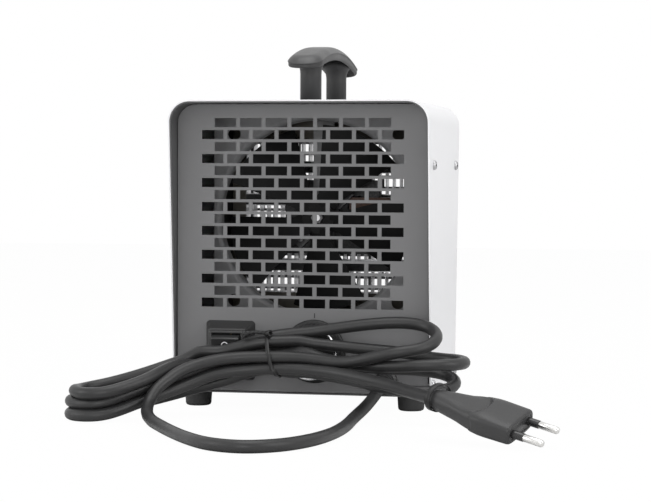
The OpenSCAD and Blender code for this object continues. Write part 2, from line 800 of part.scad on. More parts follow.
module tube(route, start_d, end_d) {
    n = len(route);
    polyhedron(
        [for (i = [0 : n - 1]) each ring(route, i, (start_d + (end_d - start_d) * i / (n - 1)) / 2)],
        [[for (k = [0 : 7]) k],
            for (i = [0 : n - 2], k = [0 : 7])
                [8 * i + k, 8 * i + 8 + k, 8 * i + 8 + (k + 1) % 8, 8 * i + (k + 1) % 8],
            [for (k = [7 : -1 : 0]) 8 * (n - 1) + k]],
        convexity = 10);
}

module cord_lead() color("#2a2a2a") tube(smoothed(lead_route, 2), cord_d, cord_d);

module cord_tail() color("#2a2a2a") tube(smoothed(tail_route, 2), cord_d, cord_d);

module bundle(clear) hull() for (strand = tie_strands) translate(strand) circle(d = cord_d + 2 * clear);

module bundle_slice(x) along_x(x, x + 0.2) bundle(0);

module beads(places) for (place = places) translate(place) sphere(d = cord_d + 0.2, $fn = 16);

// Outer shape of the tied hank: its waist in the tie, one arm to the left and three to the right
module cord_hank() {
    color("#2a2a2a") {
        along_x(tie_x - tie_w, tie_x + tie_w) bundle(0);
        hull() {
            bundle_slice(tie_x - tie_w);
            beads(left_ends);
        }
        for (ends = right_ends) hull() {
            bundle_slice(tie_x + tie_w - 0.2);
            beads(ends);
        }
    }
}

// Tie pulled tight round the hank's strands
module hank_tie() {
    color("black") along_x(tie_x - tie_w / 2, tie_x + tie_w / 2) difference() {
        bundle(1.3);
        bundle(0.2);
    }
}

module at_plug() translate(plug_neck) rotate(plug_turn) rotate([0, 90, 0]) rotate([0, 0, plug_roll]) children();

// Moulded two-pin plug: a tapered sleeve, a flared grip with thumb hollows and a flat face
module plug_body() {
    color("#242424") at_plug() difference() {
        union() {
            hull() {
                cylinder(h = 1, d = 13, $fn = 24);
                translate([0, 0, 22]) cube([plug_t, plug_t + 8, 1], center = true);
            }
            hull() {
                translate([0, 0, 21.5]) cube([plug_t, plug_t + 8, 1], center = true);
                translate([0, 0, 38]) cube([plug_t + 3, plug_w, 1], center = true);
            }
            hull() {
                translate([0, 0, 38]) cube([plug_t + 3, plug_w, 1], center = true);
                translate([0, 0, plug_len - 0.5]) cube([plug_t, plug_w, 1], center = true);
            }
        }
        for (side = [-1, 1]) translate([side * (30 + plug_t / 2 - 0.6), 0, 33]) rotate([90, 0, 0])
            cylinder(h = 60, r = 30, center = true);
        for (side = [-1, 1]) translate([0, side * pin_pitch / 2, plug_len - 8]) cylinder(h = 10, d = pin_d + 0.6);
    }
}

module pin_sleeves() {
    color("black") at_plug() for (side = [-1, 1]) translate([0, side * pin_pitch / 2, plug_len - 8]) difference() {
        cylinder(h = 8 + 8, d = pin_d + 0.6);
        translate([0, 0, -1]) cylinder(h = 20, d = pin_d);
    }
}

module plug_pins() {
    color("silver") at_plug() for (side = [-1, 1]) translate([0, side * pin_pitch / 2, plug_len - 8]) {
        cylinder(h = 8 + pin_len - 1.5, d = pin_d);
        translate([0, 0, 8 + pin_len - 1.5]) cylinder(h = 1.5, d1 = pin_d, d2 = pin_d - 2);
    }
}

module plug_ring() {
    color("black") at_plug() translate([0, 0, -4]) difference() {
        cylinder(h = 3.6, d = cord_d + 5);
        translate([0, 0, -1]) cylinder(h = 6, d = cord_d + 0.2);
    }
}

shell();
base_plate();
inlet_lining();
outlet_lining();
inlet_panel();
outlet_panel();
side_screws();
handle();
handle_screws();
feet();
foot_screws();
fan_plate();
duct();
duct_rivets();
motor_strap();
motor_core();
motor_coil();
front_bearing();
rear_bearing();
motor_screws();
motor_shaft();
rotor();
impeller();
fan_nut();
heater_frame();
heater_fins();
ceramic_bars();
heater_terminals();
thermostat();
thermostat_nut();
thermostat_shaft();
knob();
knob_ring();
switch_hood();
switch_body();
switch_terminals();
rocker();
terminal_block();
gland();
gland_nut();
cord_lead();
cord_hank();
cord_tail();
hank_tie();
plug_ring();
plug_body();
pin_sleeves();
plug_pins();
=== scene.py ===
"""Looks of the ceramic fan heater: camera, mains lead, detailed pieces, finishes, floor and light.

Lengths are written in millimetres unless their comment says otherwise; MM and mm() turn them into
metres.
"""

import json
from math import asin, copysign, cos, hypot, pi, radians, sin, sqrt

import bmesh
import bpy
import numpy as np
from mathutils import Euler, Matrix, Vector


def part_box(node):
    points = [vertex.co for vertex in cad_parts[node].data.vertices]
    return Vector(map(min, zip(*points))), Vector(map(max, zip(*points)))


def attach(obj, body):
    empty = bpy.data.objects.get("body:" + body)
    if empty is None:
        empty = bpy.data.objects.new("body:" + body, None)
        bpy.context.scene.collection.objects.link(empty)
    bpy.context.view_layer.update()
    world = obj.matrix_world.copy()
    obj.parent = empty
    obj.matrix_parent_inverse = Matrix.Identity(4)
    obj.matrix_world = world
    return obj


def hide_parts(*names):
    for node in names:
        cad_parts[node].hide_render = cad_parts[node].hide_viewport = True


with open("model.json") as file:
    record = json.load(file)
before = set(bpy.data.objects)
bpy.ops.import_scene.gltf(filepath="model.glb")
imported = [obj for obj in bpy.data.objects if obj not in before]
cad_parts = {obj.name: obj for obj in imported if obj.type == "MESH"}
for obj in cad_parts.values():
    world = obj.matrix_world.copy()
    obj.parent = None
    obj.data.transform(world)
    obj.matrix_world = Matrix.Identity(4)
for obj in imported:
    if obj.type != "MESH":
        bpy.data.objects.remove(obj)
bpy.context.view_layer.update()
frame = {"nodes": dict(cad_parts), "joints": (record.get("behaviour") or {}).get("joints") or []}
MM = 0.001


def mm(*numbers):
    """A point given in millimetres, in metres."""
    return Vector(numbers) * MM


# ---- camera

CAMERA_PLACE = mm(308.7, -1529.8, 174.3)
CAMERA_YAW = radians(11.22)
CAMERA_PITCH = radians(2.29)
CAMERA_ROLL = radians(0.26)
CAMERA_LENS, CAMERA_SENSOR = 115.1, 36


def add_object(name, data):
    piece = bpy.data.objects.new(name, data)
    bpy.context.scene.collection.objects.link(piece)
    return piece


def make_camera():
    """The camera that stands where the photograph was taken from."""
    data = bpy.data.cameras.new("photo_camera")
    data.lens = CAMERA_LENS
    data.sensor_width = CAMERA_SENSOR
    camera = add_object("photo_camera", data)
    ahead = Vector((-sin(CAMERA_YAW) * cos(CAMERA_PITCH),
                    cos(CAMERA_YAW) * cos(CAMERA_PITCH), -sin(CAMERA_PITCH)))
    level = Vector((cos(CAMERA_YAW), sin(CAMERA_YAW), 0))
    above = level.cross(ahead)
    right = level * cos(CAMERA_ROLL) + above * sin(CAMERA_ROLL)
    up = above * cos(CAMERA_ROLL) - level * sin(CAMERA_ROLL)
    turn = Matrix((right, up, -ahead)).transposed().to_4x4()
    camera.matrix_world = Matrix.Translation(CAMERA_PLACE) @ turn
    bpy.context.scene.camera = camera


# ---- materials

# Nearly all values of a noise or band texture lie between these two
TEXTURE_LOW, TEXTURE_HIGH = 0.3, 0.7
# Depth of the bump of a grain, and depth and strength of that of bands
GRAIN_DEPTH = 0.2
BAND_DEPTH, BAND_BUMP = 0.1, 0.4


def new_material(name):
    """A node material: (material, its node tree, its shader)."""
    material = bpy.data.materials.new(name)
    material.use_nodes = True
    return material, material.node_tree, material.node_tree.nodes["Principled BSDF"]


def feed(tree, node, inputs):
    """Fills a node's inputs, each with a plain value or with another node's output."""
    for key, value in inputs.items():
        if isinstance(value, bpy.types.NodeSocket):
            tree.links.new(value, node.inputs[key])
        else:
            node.inputs[key].default_value = value
    return node


def add_node(tree, kind, inputs):
    return feed(tree, tree.nodes.new("ShaderNode" + kind), inputs)


def math_node(tree, operation, first, second):
    node = add_node(tree, "Math", {0: first, 1: second})
    node.operation = operation
    return node.outputs[0]


def place_node(tree, stretch):
    """Object coordinates, stretched along the axes."""
    coordinates = add_node(tree, "TexCoord", {}).outputs["Object"]
    return add_node(tree, "Mapping", {"Vector": coordinates, "Scale": stretch}).outputs["Vector"]


def noise_node(tree, place, scale, detail=3.0):
    noise = add_node(tree, "TexNoise", {"Vector": place, "Scale": scale, "Detail": detail})
    return noise.outputs["Fac"]


def spread_node(tree, value, middle, share):
    """A texture's value, spread from middle - share to middle + share."""
    return add_node(tree, "MapRange", {
        "Value": value, "From Min": TEXTURE_LOW, "From Max": TEXTURE_HIGH,
        "To Min": middle - share, "To Max": middle + share}).outputs["Result"]


def tone_node(tree, value, dark, light):
    """A texture's value as a colour between dark and light."""
    ramp = add_node(tree, "ValToRGB", {"Fac": value})
    low, high = ramp.color_ramp.elements
    low.position, high.position = TEXTURE_LOW, TEXTURE_HIGH
    low.color, high.color = (*dark, 1), (*light, 1)
    return ramp.outputs["Color"]


def bump_node(tree, height, strength, depth):
    bump = {"Height": height, "Strength": strength, "Distance": depth * MM}
    return add_node(tree, "Bump", bump).outputs["Normal"]


def shaded(colour, share):
    return tuple(channel * share for channel in colour)


def finish(name, colour, rough, metallic=0.0, grain=2600, bump=0.1, vary=0.06, rough_vary=0.06,
           stretch=(1, 1, 1), blotch=28, specular=0.5):
    """A finish with a fine grain that bumps it, and slow changes of tone and gloss. The scales of
    the two noises are grain and blotch."""
    material, tree, shader = new_material(name)
    place = place_node(tree, stretch)
    slow = noise_node(tree, place, blotch, 4)
    fine = noise_node(tree, place, grain, 2)
    feed(tree, shader, {
        "Base Color": tone_node(tree, slow, shaded(colour, 1 - vary), shaded(colour, 1 + vary)),
        "Roughness": spread_node(tree, slow, rough, rough_vary),
        "Normal": bump_node(tree, fine, bump, GRAIN_DEPTH),
        "Metallic": metallic, "Specular IOR Level": specular})
    return material


def banded(name, dark, light, rough, metallic, axis, per_metre):
    """Thin parallel bands, such as stacked sheets or wound wire."""
    material, tree, shader = new_material(name)
    place = place_node(tree, (1, 1, 1))
    wave = add_node(tree, "TexWave", {"Vector": place, "Scale": per_metre, "Distortion": 0.6,
                                      "Detail": 2})
    wave.bands_direction = axis
    bands = wave.outputs["Fac"]
    feed(tree, shader, {
        "Base Color": tone_node(tree, bands, dark, light),
        "Roughness": spread_node(tree, noise_node(tree, place, 60), rough, 0.08),
        "Normal": bump_node(tree, bands, BAND_BUMP, BAND_DEPTH),
        "Metallic": metallic})
    return material


def grey(level):
    """A grey with a trace of blue."""
    return (level, level, level * 1.02)


WHITE_PAINT = finish("white_powder_coat", grey(0.77), 0.38, grain=1400, vary=0.012, rough_vary=0.03)
PANEL_PAINT = finish("panel_powder_coat", grey(0.14), 0.5, grain=1500, bump=0.22, vary=0.05)
LINING_PAINT = finish("lining_powder_coat", grey(0.085), 0.46, grain=1500, bump=0.22, vary=0.05)
FAN_PLATE_STEEL = finish("fan_plate_steel", grey(0.22), 0.5, metallic=0.1, grain=500, vary=0.16,
                         blotch=45, rough_vary=0.1, specular=0.3)
# Near black duct steel: painted shade for the dark inside of the case
DUCT_STEEL_SHADED = finish("duct_steel_painted_shade", grey(0.03), 0.55, metallic=0.2, grain=400, vary=0.2, blotch=60,
                    rough_vary=0.1, specular=0.15)
ZINC = finish("zinc_plate", grey(0.55), 0.3, metallic=1.0, grain=1800, bump=0.12, vary=0.1,
              blotch=220, rough_vary=0.08)
# Dark steel for the motor's strap, bearings and fan nut: painted shade inside the case
MOTOR_STEEL_SHADED = finish("motor_steel_painted_shade", grey(0.11), 0.42, metallic=0.7, grain=900, bump=0.12, vary=0.12,
                     blotch=120, rough_vary=0.1)
SCREW_STEEL = finish("screw_steel", grey(0.45), 0.34, metallic=0.9, grain=2200, bump=0.12,
                     vary=0.1, blotch=400, rough_vary=0.08)
# Near black for the cross recesses of the screws: painted shade where the recess lies in shadow
RECESS_SHADE = finish("recess_painted_shade", grey(0.015), 0.7, grain=2200, bump=0.2, vary=0.15)
BLADE_PLASTIC = finish("blade_plastic", grey(0.012), 0.5, grain=1800, vary=0.08, blotch=90,
                       specular=0.12)
# Aluminium darkened for the fins inside the case: painted shade
FIN_ALUMINIUM_SHADED = finish("fin_aluminium_painted_shade", (0.42, 0.42, 0.43), 0.38, metallic=1.0, grain=900, bump=0.2,
                       vary=0.15, blotch=300, rough_vary=0.1)
CHROME = finish("chrome", (0.7, 0.7, 0.71), 0.14, metallic=1.0, grain=300, bump=0.02, vary=0.02,
                rough_vary=0.03, blotch=120)
NICKEL = finish("nickel_pin", (0.66, 0.655, 0.64), 0.22, metallic=1.0, grain=2200, bump=0.06,
                stretch=(1, 1, 0.1), blotch=300)
BRASS = finish("brass_tab", (0.72, 0.55, 0.26), 0.3, metallic=1.0, grain=1500, bump=0.08,
               vary=0.08)
HANDLE_PLASTIC = finish("handle_plastic", grey(0.042), 0.42, bump=0.2, rough_vary=0.05, blotch=60)
# The handle plastic again, darker: painted shade for the sides, posts and underside of the handle
HANDLE_SHADED_PLASTIC = finish("handle_plastic_painted_shade", grey(0.030), 0.46, bump=0.15, vary=0.08, specular=0.35)
KNOB_PLASTIC = finish("knob_plastic", grey(0.016), 0.36, specular=0.25)
HOOD_PLASTIC = finish("hood_plastic", grey(0.017), 0.45, grain=2200, bump=0.25)
SWITCH_PLASTIC = finish("switch_plastic", grey(0.020), 0.3, bump=0.05, vary=0.05)
FOOT_RUBBER = finish("foot_rubber", grey(0.020), 0.62, grain=1300, bump=0.3, vary=0.12)
CORD_RUBBER = finish("cord_rubber", grey(0.021), 0.43, grain=1100, bump=0.12, vary=0.1, blotch=70,
                     rough_vary=0.07, specular=0.36)
PLUG_RUBBER = finish("plug_rubber", grey(0.030), 0.44, grain=1700, bump=0.16, vary=0.08,
                     specular=0.4)
TIE_PLASTIC = finish("tie_plastic", grey(0.012), 0.4, grain=1500, bump=0.2, vary=0.1, specular=0.3)
SLEEVE_PLASTIC = finish("sleeve_plastic", grey(0.018), 0.3, bump=0.05, vary=0.05)
IVORY = finish("ivory_plastic", (0.62, 0.58, 0.47), 0.42, vary=0.04)
# Mica board darkened: painted shade inside the case
MICA_SHADED = finish("mica_board_painted_shade", (0.085, 0.076, 0.060), 0.55, grain=900, bump=0.2, vary=0.2, blotch=160)
CERAMIC = finish("ptc_ceramic", grey(0.045), 0.7, grain=2400, bump=0.4, vary=0.18, blotch=260)
PRINT_WHITE = finish("printed_white", grey(0.75), 0.5, bump=0.05, vary=0.03)
PRINT_BLACK = finish("printed_black", grey(0.012), 0.5, bump=0.05, vary=0.03)
LAMINATIONS = banded("laminations", grey(0.03), grey(0.08), 0.5, 0.6, "Y", 600)
# Copper winding darkened to near black: painted shade inside the case
WINDING_SHADED = banded("winding", (0.020, 0.009, 0.006), (0.060, 0.026, 0.014), 0.45, 0.4, "Y", 420)

# The finishes of the CAD nodes that are shown as they are
CAD_FINISHES = [
    (WHITE_PAINT, "shell"), (PANEL_PAINT, "inlet_panel outlet_panel"),
    (LINING_PAINT, "base_plate inlet_lining outlet_lining"), (FOOT_RUBBER, "feet"),
    (FAN_PLATE_STEEL, "fan_plate"), (DUCT_STEEL_SHADED, "duct"), (BLADE_PLASTIC, "impeller"),
    (ZINC, "handle_screws foot_screws duct_rivets motor_screws motor_shaft"),
    (ZINC, "thermostat thermostat_nut thermostat_shaft"), (CHROME, "knob_ring"),
    (MOTOR_STEEL_SHADED, "motor_strap front_bearing rear_bearing fan_nut"),
    (LAMINATIONS, "motor_core rotor"), (WINDING_SHADED, "motor_coil"), (MICA_SHADED, "heater_frame"),
    (FIN_ALUMINIUM_SHADED, "heater_fins"), (CERAMIC, "ceramic_bars"), (IVORY, "terminal_block"),
    (BRASS, "heater_terminals switch_terminals"), (HOOD_PLASTIC, "gland_nut"),
    (SLEEVE_PLASTIC, "pin_sleeves"),
]


def dress(piece, material):
    piece.data.materials.clear()
    piece.data.materials.append(material)


def dress_cad_nodes():
    for material, nodes in CAD_FINISHES:
        for node in nodes.split():
            dress(frame["nodes"][node], material)


# ---- mesh helpers

SHARP_ANGLE = radians(35)
BEVEL_STEPS = 3


def mesh_object(name, shape):
    """Turns a bmesh, which is freed, into an object."""
    bmesh.ops.recalc_face_normals(shape, faces=shape.faces)
    mesh = bpy.data.meshes.new(name)
    shape.to_mesh(mesh)
    shape.free()
    return add_object(name, mesh)


def make_piece(name, shape, material, body, stands_for=(), bevel=0.0, flat=False):
    """Turns a bmesh into a piece: smoothed, with its finish, riding on its body."""
    piece = mesh_object(name, shape)
    if not flat:
        piece.data.shade_smooth()
    if bevel:
        edge = piece.modifiers.new("edges", "BEVEL")
        edge.width = bevel
        edge.segments = BEVEL_STEPS
        edge.limit_method = "ANGLE"
        edge.angle_limit = SHARP_ANGLE
        edge.harden_normals = True
    dress(piece, material)
    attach(piece, body)
    if stands_for:
        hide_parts(*stands_for)
    return piece


def add_rings(shape, rings, closed_ends=True, wrap=False):
    """Skins a list of rings, each a list of points, into a tube or a closed band."""
    rows = [[shape.verts.new(point) for point in ring] for ring in rings]
    pairs = list(zip(rows, rows[1:]))
    if wrap:
        pairs.append((rows[-1], rows[0]))
    for near, far in pairs:
        for i in range(len(near)):
            j = (i + 1) % len(near)
            shape.faces.new((near[i], near[j], far[j], far[i]))
    if closed_ends and not wrap:
        shape.faces.new(rows[0][::-1])
        shape.faces.new(rows[-1])


def full_turn(steps):
    """Even angles all the way round."""
    return np.linspace(0, 2 * pi, steps, endpoint=False)


def add_lathe(shape, profile, place, sides, closed_ends=True):
    """Turns a profile of (radius, height) about place's Z axis."""
    rings = []
    for radius, height in profile:
        circle = [(radius * cos(turn) * MM, radius * sin(turn) * MM) for turn in full_turn(sides)]
        rings.append([place @ Vector((x, y, height * MM)) for x, y in circle])
    add_rings(shape, rings, closed_ends)


def add_box(shape, low, high):
    for vertex in bmesh.ops.create_cube(shape, size=1)["verts"]:
        vertex.co = Vector([low[k] if vertex.co[k] < 0 else high[k] for k in range(3)])


def smooth_by_angle(piece):
    """Smooth shading with the sharp edges kept."""
    mesh = piece.data
    mesh.shade_smooth()
    shape = bmesh.new()
    shape.from_mesh(mesh)
    for edge in shape.edges:
        edge.smooth = len(edge.link_faces) == 2 and edge.calc_face_angle(0) < SHARP_ANGLE
    shape.to_mesh(mesh)
    shape.free()


def facing_inlet(x, y, z):
    """A place whose Z axis points out of the inlet panel, along -Y, and whose Y axis points up."""
    return Matrix.Translation((x, y, z)) @ Matrix.Rotation(pi / 2, 4, "X")


def centre_of(node):
    low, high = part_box(node)
    return (low + high) / 2


def half_size(node):
    """Half a CAD node's size along X, Y and Z, in millimetres."""
    low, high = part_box(node)
    return [(high[k] - low[k]) / 2 / MM for k in range(3)]


# ---- mains lead

CORD_D = 8.4
# Route of the free part: out of the gland, down, round the front loop and up to the tie
LEAD_ROUTE = [
    (62.4, -64, 22), (62.4, -73, 22), (62.2, -86, 19.8), (59.5, -99, 13.5), (56, -113, 8),
    (53.5, -128, 5), (54, -150, 4.3), (56, -178, 4.3), (56.5, -206, 4.3), (54.5, -236, 4.3),
    (47.5, -266, 4.3), (34.5, -290.5, 4.3), (14.5, -303, 4.3), (-8, -295, 4.3), (-28, -272, 4.3),
    (-47, -242, 4.3), (-63, -213, 4.3), (-77, -187, 4.8), (-86, -167, 8), (-87, -156, 15),
    (-83, -148, 23), (-75, -138, 30.5), (-62, -127, 36.5), (-44, -118.5, 40.5),
]
# The seven strands inside the tie, as (y, z)
TIE_X = -17.5
TIE_STRANDS = [(-113.5, 42), (-97.5, 54.5), (-107, 52.2), (-96.5, 43.6), (-105, 41.5),
               (-103.5, 33), (-112.5, 33.4)]
# Each fold of the hank: its centre, the way it points, the step from its centre to the strand that
# leaves it, then the points that the cord passes before it, and those after it
FOLDS = [
    ((82.5, -112, 57.5), (1, 0, -0.03), (1, 23, 8.5),
     [(14, -115.5, 40.6), (34, -121, 39.4), (52, -126, 41)],
     [(58, -91, 65), (34, -91, 61.5), (8, -92.5, 57.5)]),
    ((-118.5, -151, 21.2), (-1, -0.3, -0.15), (-6, 23.5, 0.8),
     [(-50, -98, 40.5), (-74, -124, 33), (-93, -156, 26.5)],
     [(-102, -121, 28.5), (-80, -111, 36), (-52, -107, 42.8)]),
    ((103, -114, 41), (1, -0.05, 0), (0, -24, -0.2),
     [(6, -98.5, 51.3), (28, -94.5, 49.2), (54, -92, 46.8), (78, -91, 45)],
     [(78, -132, 38.8), (45, -115, 38.5)]),
    ((-122, -148, 13), (-1, -0.3, -0.1), (6, -23, -0.4),
     [(-50, -100, 36), (-72, -107, 28), (-99, -119, 20)],
     [(-98, -154, 19.5), (-80, -134, 26.5), (-56, -114, 34.5)]),
    ((97, -119, 28), (1, -0.1, -0.05), (0, -24, -5),
     [(30, -101, 36), (74, -97, 34)],
     [(74, -137, 24.5), (44, -122, 29)]),
    ((-121, -151, 5), (-1, -0.3, -0.02), (6, -23, 0.2),
     [(-44, -106, 24.5), (-72, -111, 16.7), (-99, -121, 9.5)],
     [(-98, -157, 11.5), (-80, -140, 18.5), (-64, -126, 25.5), (-44, -117, 31)]),
]
# Route of the last straight part, from the tie to the plug
TAIL_ROUTE = [(14, -117, 34.9), (33, -124, 33.4), (55, -138, 31.5), (80, -160, 29.2),
              (101, -188, 27.6), (119, -214, 27)]
# Points on each fold, and the steps between the points of the settling and of the finished cord
FOLD_STEPS = 5
CORD_STEP = 3.0
FINE_STEP = 2.0
# Settling: rounds, share of the way to the middle of two points STIFF_REACH away, share of the way
# back to the drawn route
SETTLING_ROUNDS = 260
STIFFNESS = 0.03
STIFF_REACH = 4
MEMORY = 0.05
# Shares of an overlap and of a stretch that each end gives way, their passes per round, and the
# count of touching points from which their pushes are averaged
PUSH_SHARE, PUSH_PASSES, CROWD = 0.3, 2, 2.5
PULL_SHARE, PULL_PASSES = 0.25, 3
# Points held in place at the gland and at the plug, and the first point that has to lie before the
# plane in front of the case
HELD_AT_GLAND, HELD_AT_PLUG = 9, 5
FIRST_CLEAR = 12
CASE_FRONT = -87
# Height of the cord's middle where it lies on the floor
LEAST_HEIGHT = CORD_D / 2 + 0.05
# Evening out: rounds, and the two steps of each
EVENING_ROUNDS = 14
EVENING_SHARES = (0.5, -0.52)


def fold_points(fold):
    """Half a turn round the fold's centre, from the strand that arrives to the one that leaves."""
    centre, out, leaves = (np.array(place, float) for place in fold)
    out *= np.linalg.norm(leaves) / np.linalg.norm(out)
    return [centre + cos(turn) * out + sin(turn) * leaves
            for turn in np.linspace(-pi / 2, pi / 2, FOLD_STEPS)]


def cord_points():
    """The drawn route from the gland to the plug."""
    points = list(LEAD_ROUTE)
    for strand, (*fold, before, after) in zip(TIE_STRANDS, FOLDS):
        points += [(TIE_X, *strand), *before, *fold_points(fold), *after]
    points += [(TIE_X, *TIE_STRANDS[-1]), *TAIL_ROUTE]
    return [np.array(point, float) for point in points]


def smooth_path(points, step, fineness):
    """A centripetal Catmull-Rom curve through the points, worked out at fineness places between
    each two, with an even step along it."""
    points = [2 * points[0] - points[1], *points, 2 * points[-1] - points[-2]]
    curve = []
    for a, b, c, d in zip(points, points[1:], points[2:], points[3:]):
        links = ((a, b), (b, c), (c, d))
        knots = np.cumsum([0, *(sqrt(np.linalg.norm(q - p)) for p, q in links)])

        def between(p, q, start, end, t):
            span = knots[end] - knots[start]
            return (knots[end] - t) / span * p + (t - knots[start]) / span * q

        for t in np.linspace(knots[1], knots[2], fineness, endpoint=False):
            ab, bc, cd = between(a, b, 0, 1, t), between(b, c, 1, 2, t), between(c, d, 2, 3, t)
            curve.append(between(between(ab, bc, 0, 2, t), between(bc, cd, 1, 3, t), 1, 2, t))
    curve = np.array([*curve, points[-2]])
    along = np.concatenate(([0], np.cumsum(np.linalg.norm(np.diff(curve, axis=0), axis=1))))
    marks = np.linspace(0, along[-1], int(along[-1] / step) + 1)
    return np.stack([np.interp(marks, along, curve[:, k]) for k in range(3)], 1)


def settle(path):
    """Lets the cord lie as a cord does: strands beside each other and not through each other, on
    the floor, in front of the case, with its length kept and its bends evened out."""
    drawn, path = path.copy(), path.copy()
    step = np.linalg.norm(np.diff(path, axis=0), axis=1).mean()
    # only points three cord widths apart along the cord can be two strands
    apart = int(3 * CORD_D / step)
    first, second = np.triu_indices(len(path), apart)
    held = np.r_[0:HELD_AT_GLAND, len(path) - HELD_AT_PLUG:len(path)]
    reach = STIFF_REACH
    for _ in range(SETTLING_ROUNDS):
        even = path.copy()
        even[reach:-reach] = (path[:-2 * reach] + path[2 * reach:]) / 2
        path += STIFFNESS * (even - path) + MEMORY * (drawn - path)
        for _ in range(PUSH_PASSES):
            gap = path[first] - path[second]
            wide = np.einsum("ij,ij->i", gap, gap)
            near = np.flatnonzero(wide < CORD_D ** 2)
            distance = np.sqrt(wide[near]) + 1e-9
            push = (PUSH_SHARE * (CORD_D - distance) / distance)[:, None] * gap[near]
            moved, count = np.zeros_like(path), np.zeros(len(path))
            for ends, sign in ((first[near], 1), (second[near], -1)):
                np.add.at(moved, ends, sign * push)
                np.add.at(count, ends, 1)
            path += moved / np.maximum(1, count / CROWD)[:, None]
        for _ in range(PULL_PASSES):
            link = np.diff(path, axis=0)
            long = np.linalg.norm(link, axis=1)
            pull = (PULL_SHARE * (long - step) / long)[:, None] * link
            path[:-1] += pull
            path[1:] -= pull
        path[:, 2] = np.maximum(path[:, 2], LEAST_HEIGHT)
        path[FIRST_CLEAR:, 1] = np.minimum(path[FIRST_CLEAR:, 1], CASE_FRONT)
        path[held] = drawn[held]
    return path


def even_out(path):
    """Takes the small kinks out of the path; each second step undoes the first one's shrinking."""
    path = path.copy()
    for _ in range(EVENING_ROUNDS):
        for share in EVENING_SHARES:
            middle = (path[:-2] + path[2:]) / 2
            path[2:-2] += share * (middle - path[1:-1])[1:-1]
        path[:, 2] = np.maximum(path[:, 2], LEAST_HEIGHT)
    return path


def make_cord():
    """The whole lead as one curve: (cord, its path in millimetres, its length in metres)."""
    path = settle(smooth_path(cord_points(), CORD_STEP, fineness=24))
    path = smooth_path(list(even_out(path)), FINE_STEP, fineness=5)
    curve = bpy.data.curves.new("mains_lead", "CURVE")
    curve.dimensions = "3D"
    curve.bevel_depth = CORD_D / 2 * MM
    curve.bevel_resolution = 5
    curve.use_fill_caps = True
    line = curve.splines.new("POLY")
    line.points.add(len(path) - 1)
    for point, place in zip(line.points, path):
        point.co = (*(place * MM), 1)
    line.use_smooth = True
    cord = add_object("mains_lead", curve)
    curve.materials.append(CORD_RUBBER)
    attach(cord, "case")
    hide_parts("cord_lead", "cord_hank", "cord_tail")
    length = np.linalg.norm(np.diff(path, axis=0), axis=1).sum() * MM
    return cord, path, length


# ---- handle

# Radius of the crest along the grip, and of the grip's corners seen from above
HANDLE_ARCH = 280.0
HANDLE_CORNER = 12.0
# Height of the grip over its posts
GRIP_HEIGHT = 9
# Half section of the grip, from the crest over the shoulder and back under it: distance in from the
# rim, depth below the crest. The middle of the grip is added at both ends.
GRIP_SECTION = [(11.8, 0), (9.5, 0), (7.5, 0.05), (6.2, 0.15), (5, 0.4), (4, 0.8), (3, 1.3),
                (2.1, 1.95), (1.3, 2.7), (0.7, 3.45), (0.35, 3.95), (0.1, 4.3), (0, 4.6),
                (0.05, 4.85), (0.2, 5.0), (0.38, 5.15), (0.45, 5.5), (0.45, 7), (0.55, 7.9),
                (0.85, 8.5), (1.3, 8.9), (1.8, 9), (2.2, 8.8), (2.4, 8.3), (2.6, 5.4), (3.2, 4.4),
                (4.5, 4.1), (9, 4)]
# The wall under the rim: where it begins below the crest, its depth in the middle as a multiple of
# the section's, and how much less of it is left at the ends
RIM_DROP = 5.2
WALL_MIDDLE, WALL_LOSS = 1.25, 0.6
GRIP_STATIONS, GRIP_END_POINTS = 48, 20
# Faces whose normal rises less than this get the darker copy of the handle plastic: painted shade
# on the handle's sides, posts and underside
UPWARD = 0.35
# Head radius of the screws under the handle
HANDLE_SCREW_RADIUS = 4.5


def grip_outline(inset, half_width, half_length):
    """The grip from above, drawn in by inset: straight sides and rounded ends, as (x, y)."""
    radius = max(HANDLE_CORNER - inset, 0)
    straight = half_length - HANDLE_CORNER
    across = half_width - inset if inset > HANDLE_CORNER else half_width - HANDLE_CORNER + radius
    outline = []
    for side in (1, -1):
        outline += [(side * across, side * y)
                    for y in np.linspace(-straight, straight, GRIP_STATIONS)]
        for turn in np.linspace(0, pi, GRIP_END_POINTS)[1:-1]:
            shift = across * cos(turn)
            if radius:
                shift = (half_width - HANDLE_CORNER) * (1 if turn < pi / 2 else -1)
            outline.append((side * (shift + radius * cos(turn)),
                            side * (straight + radius * sin(turn))))
    return outline


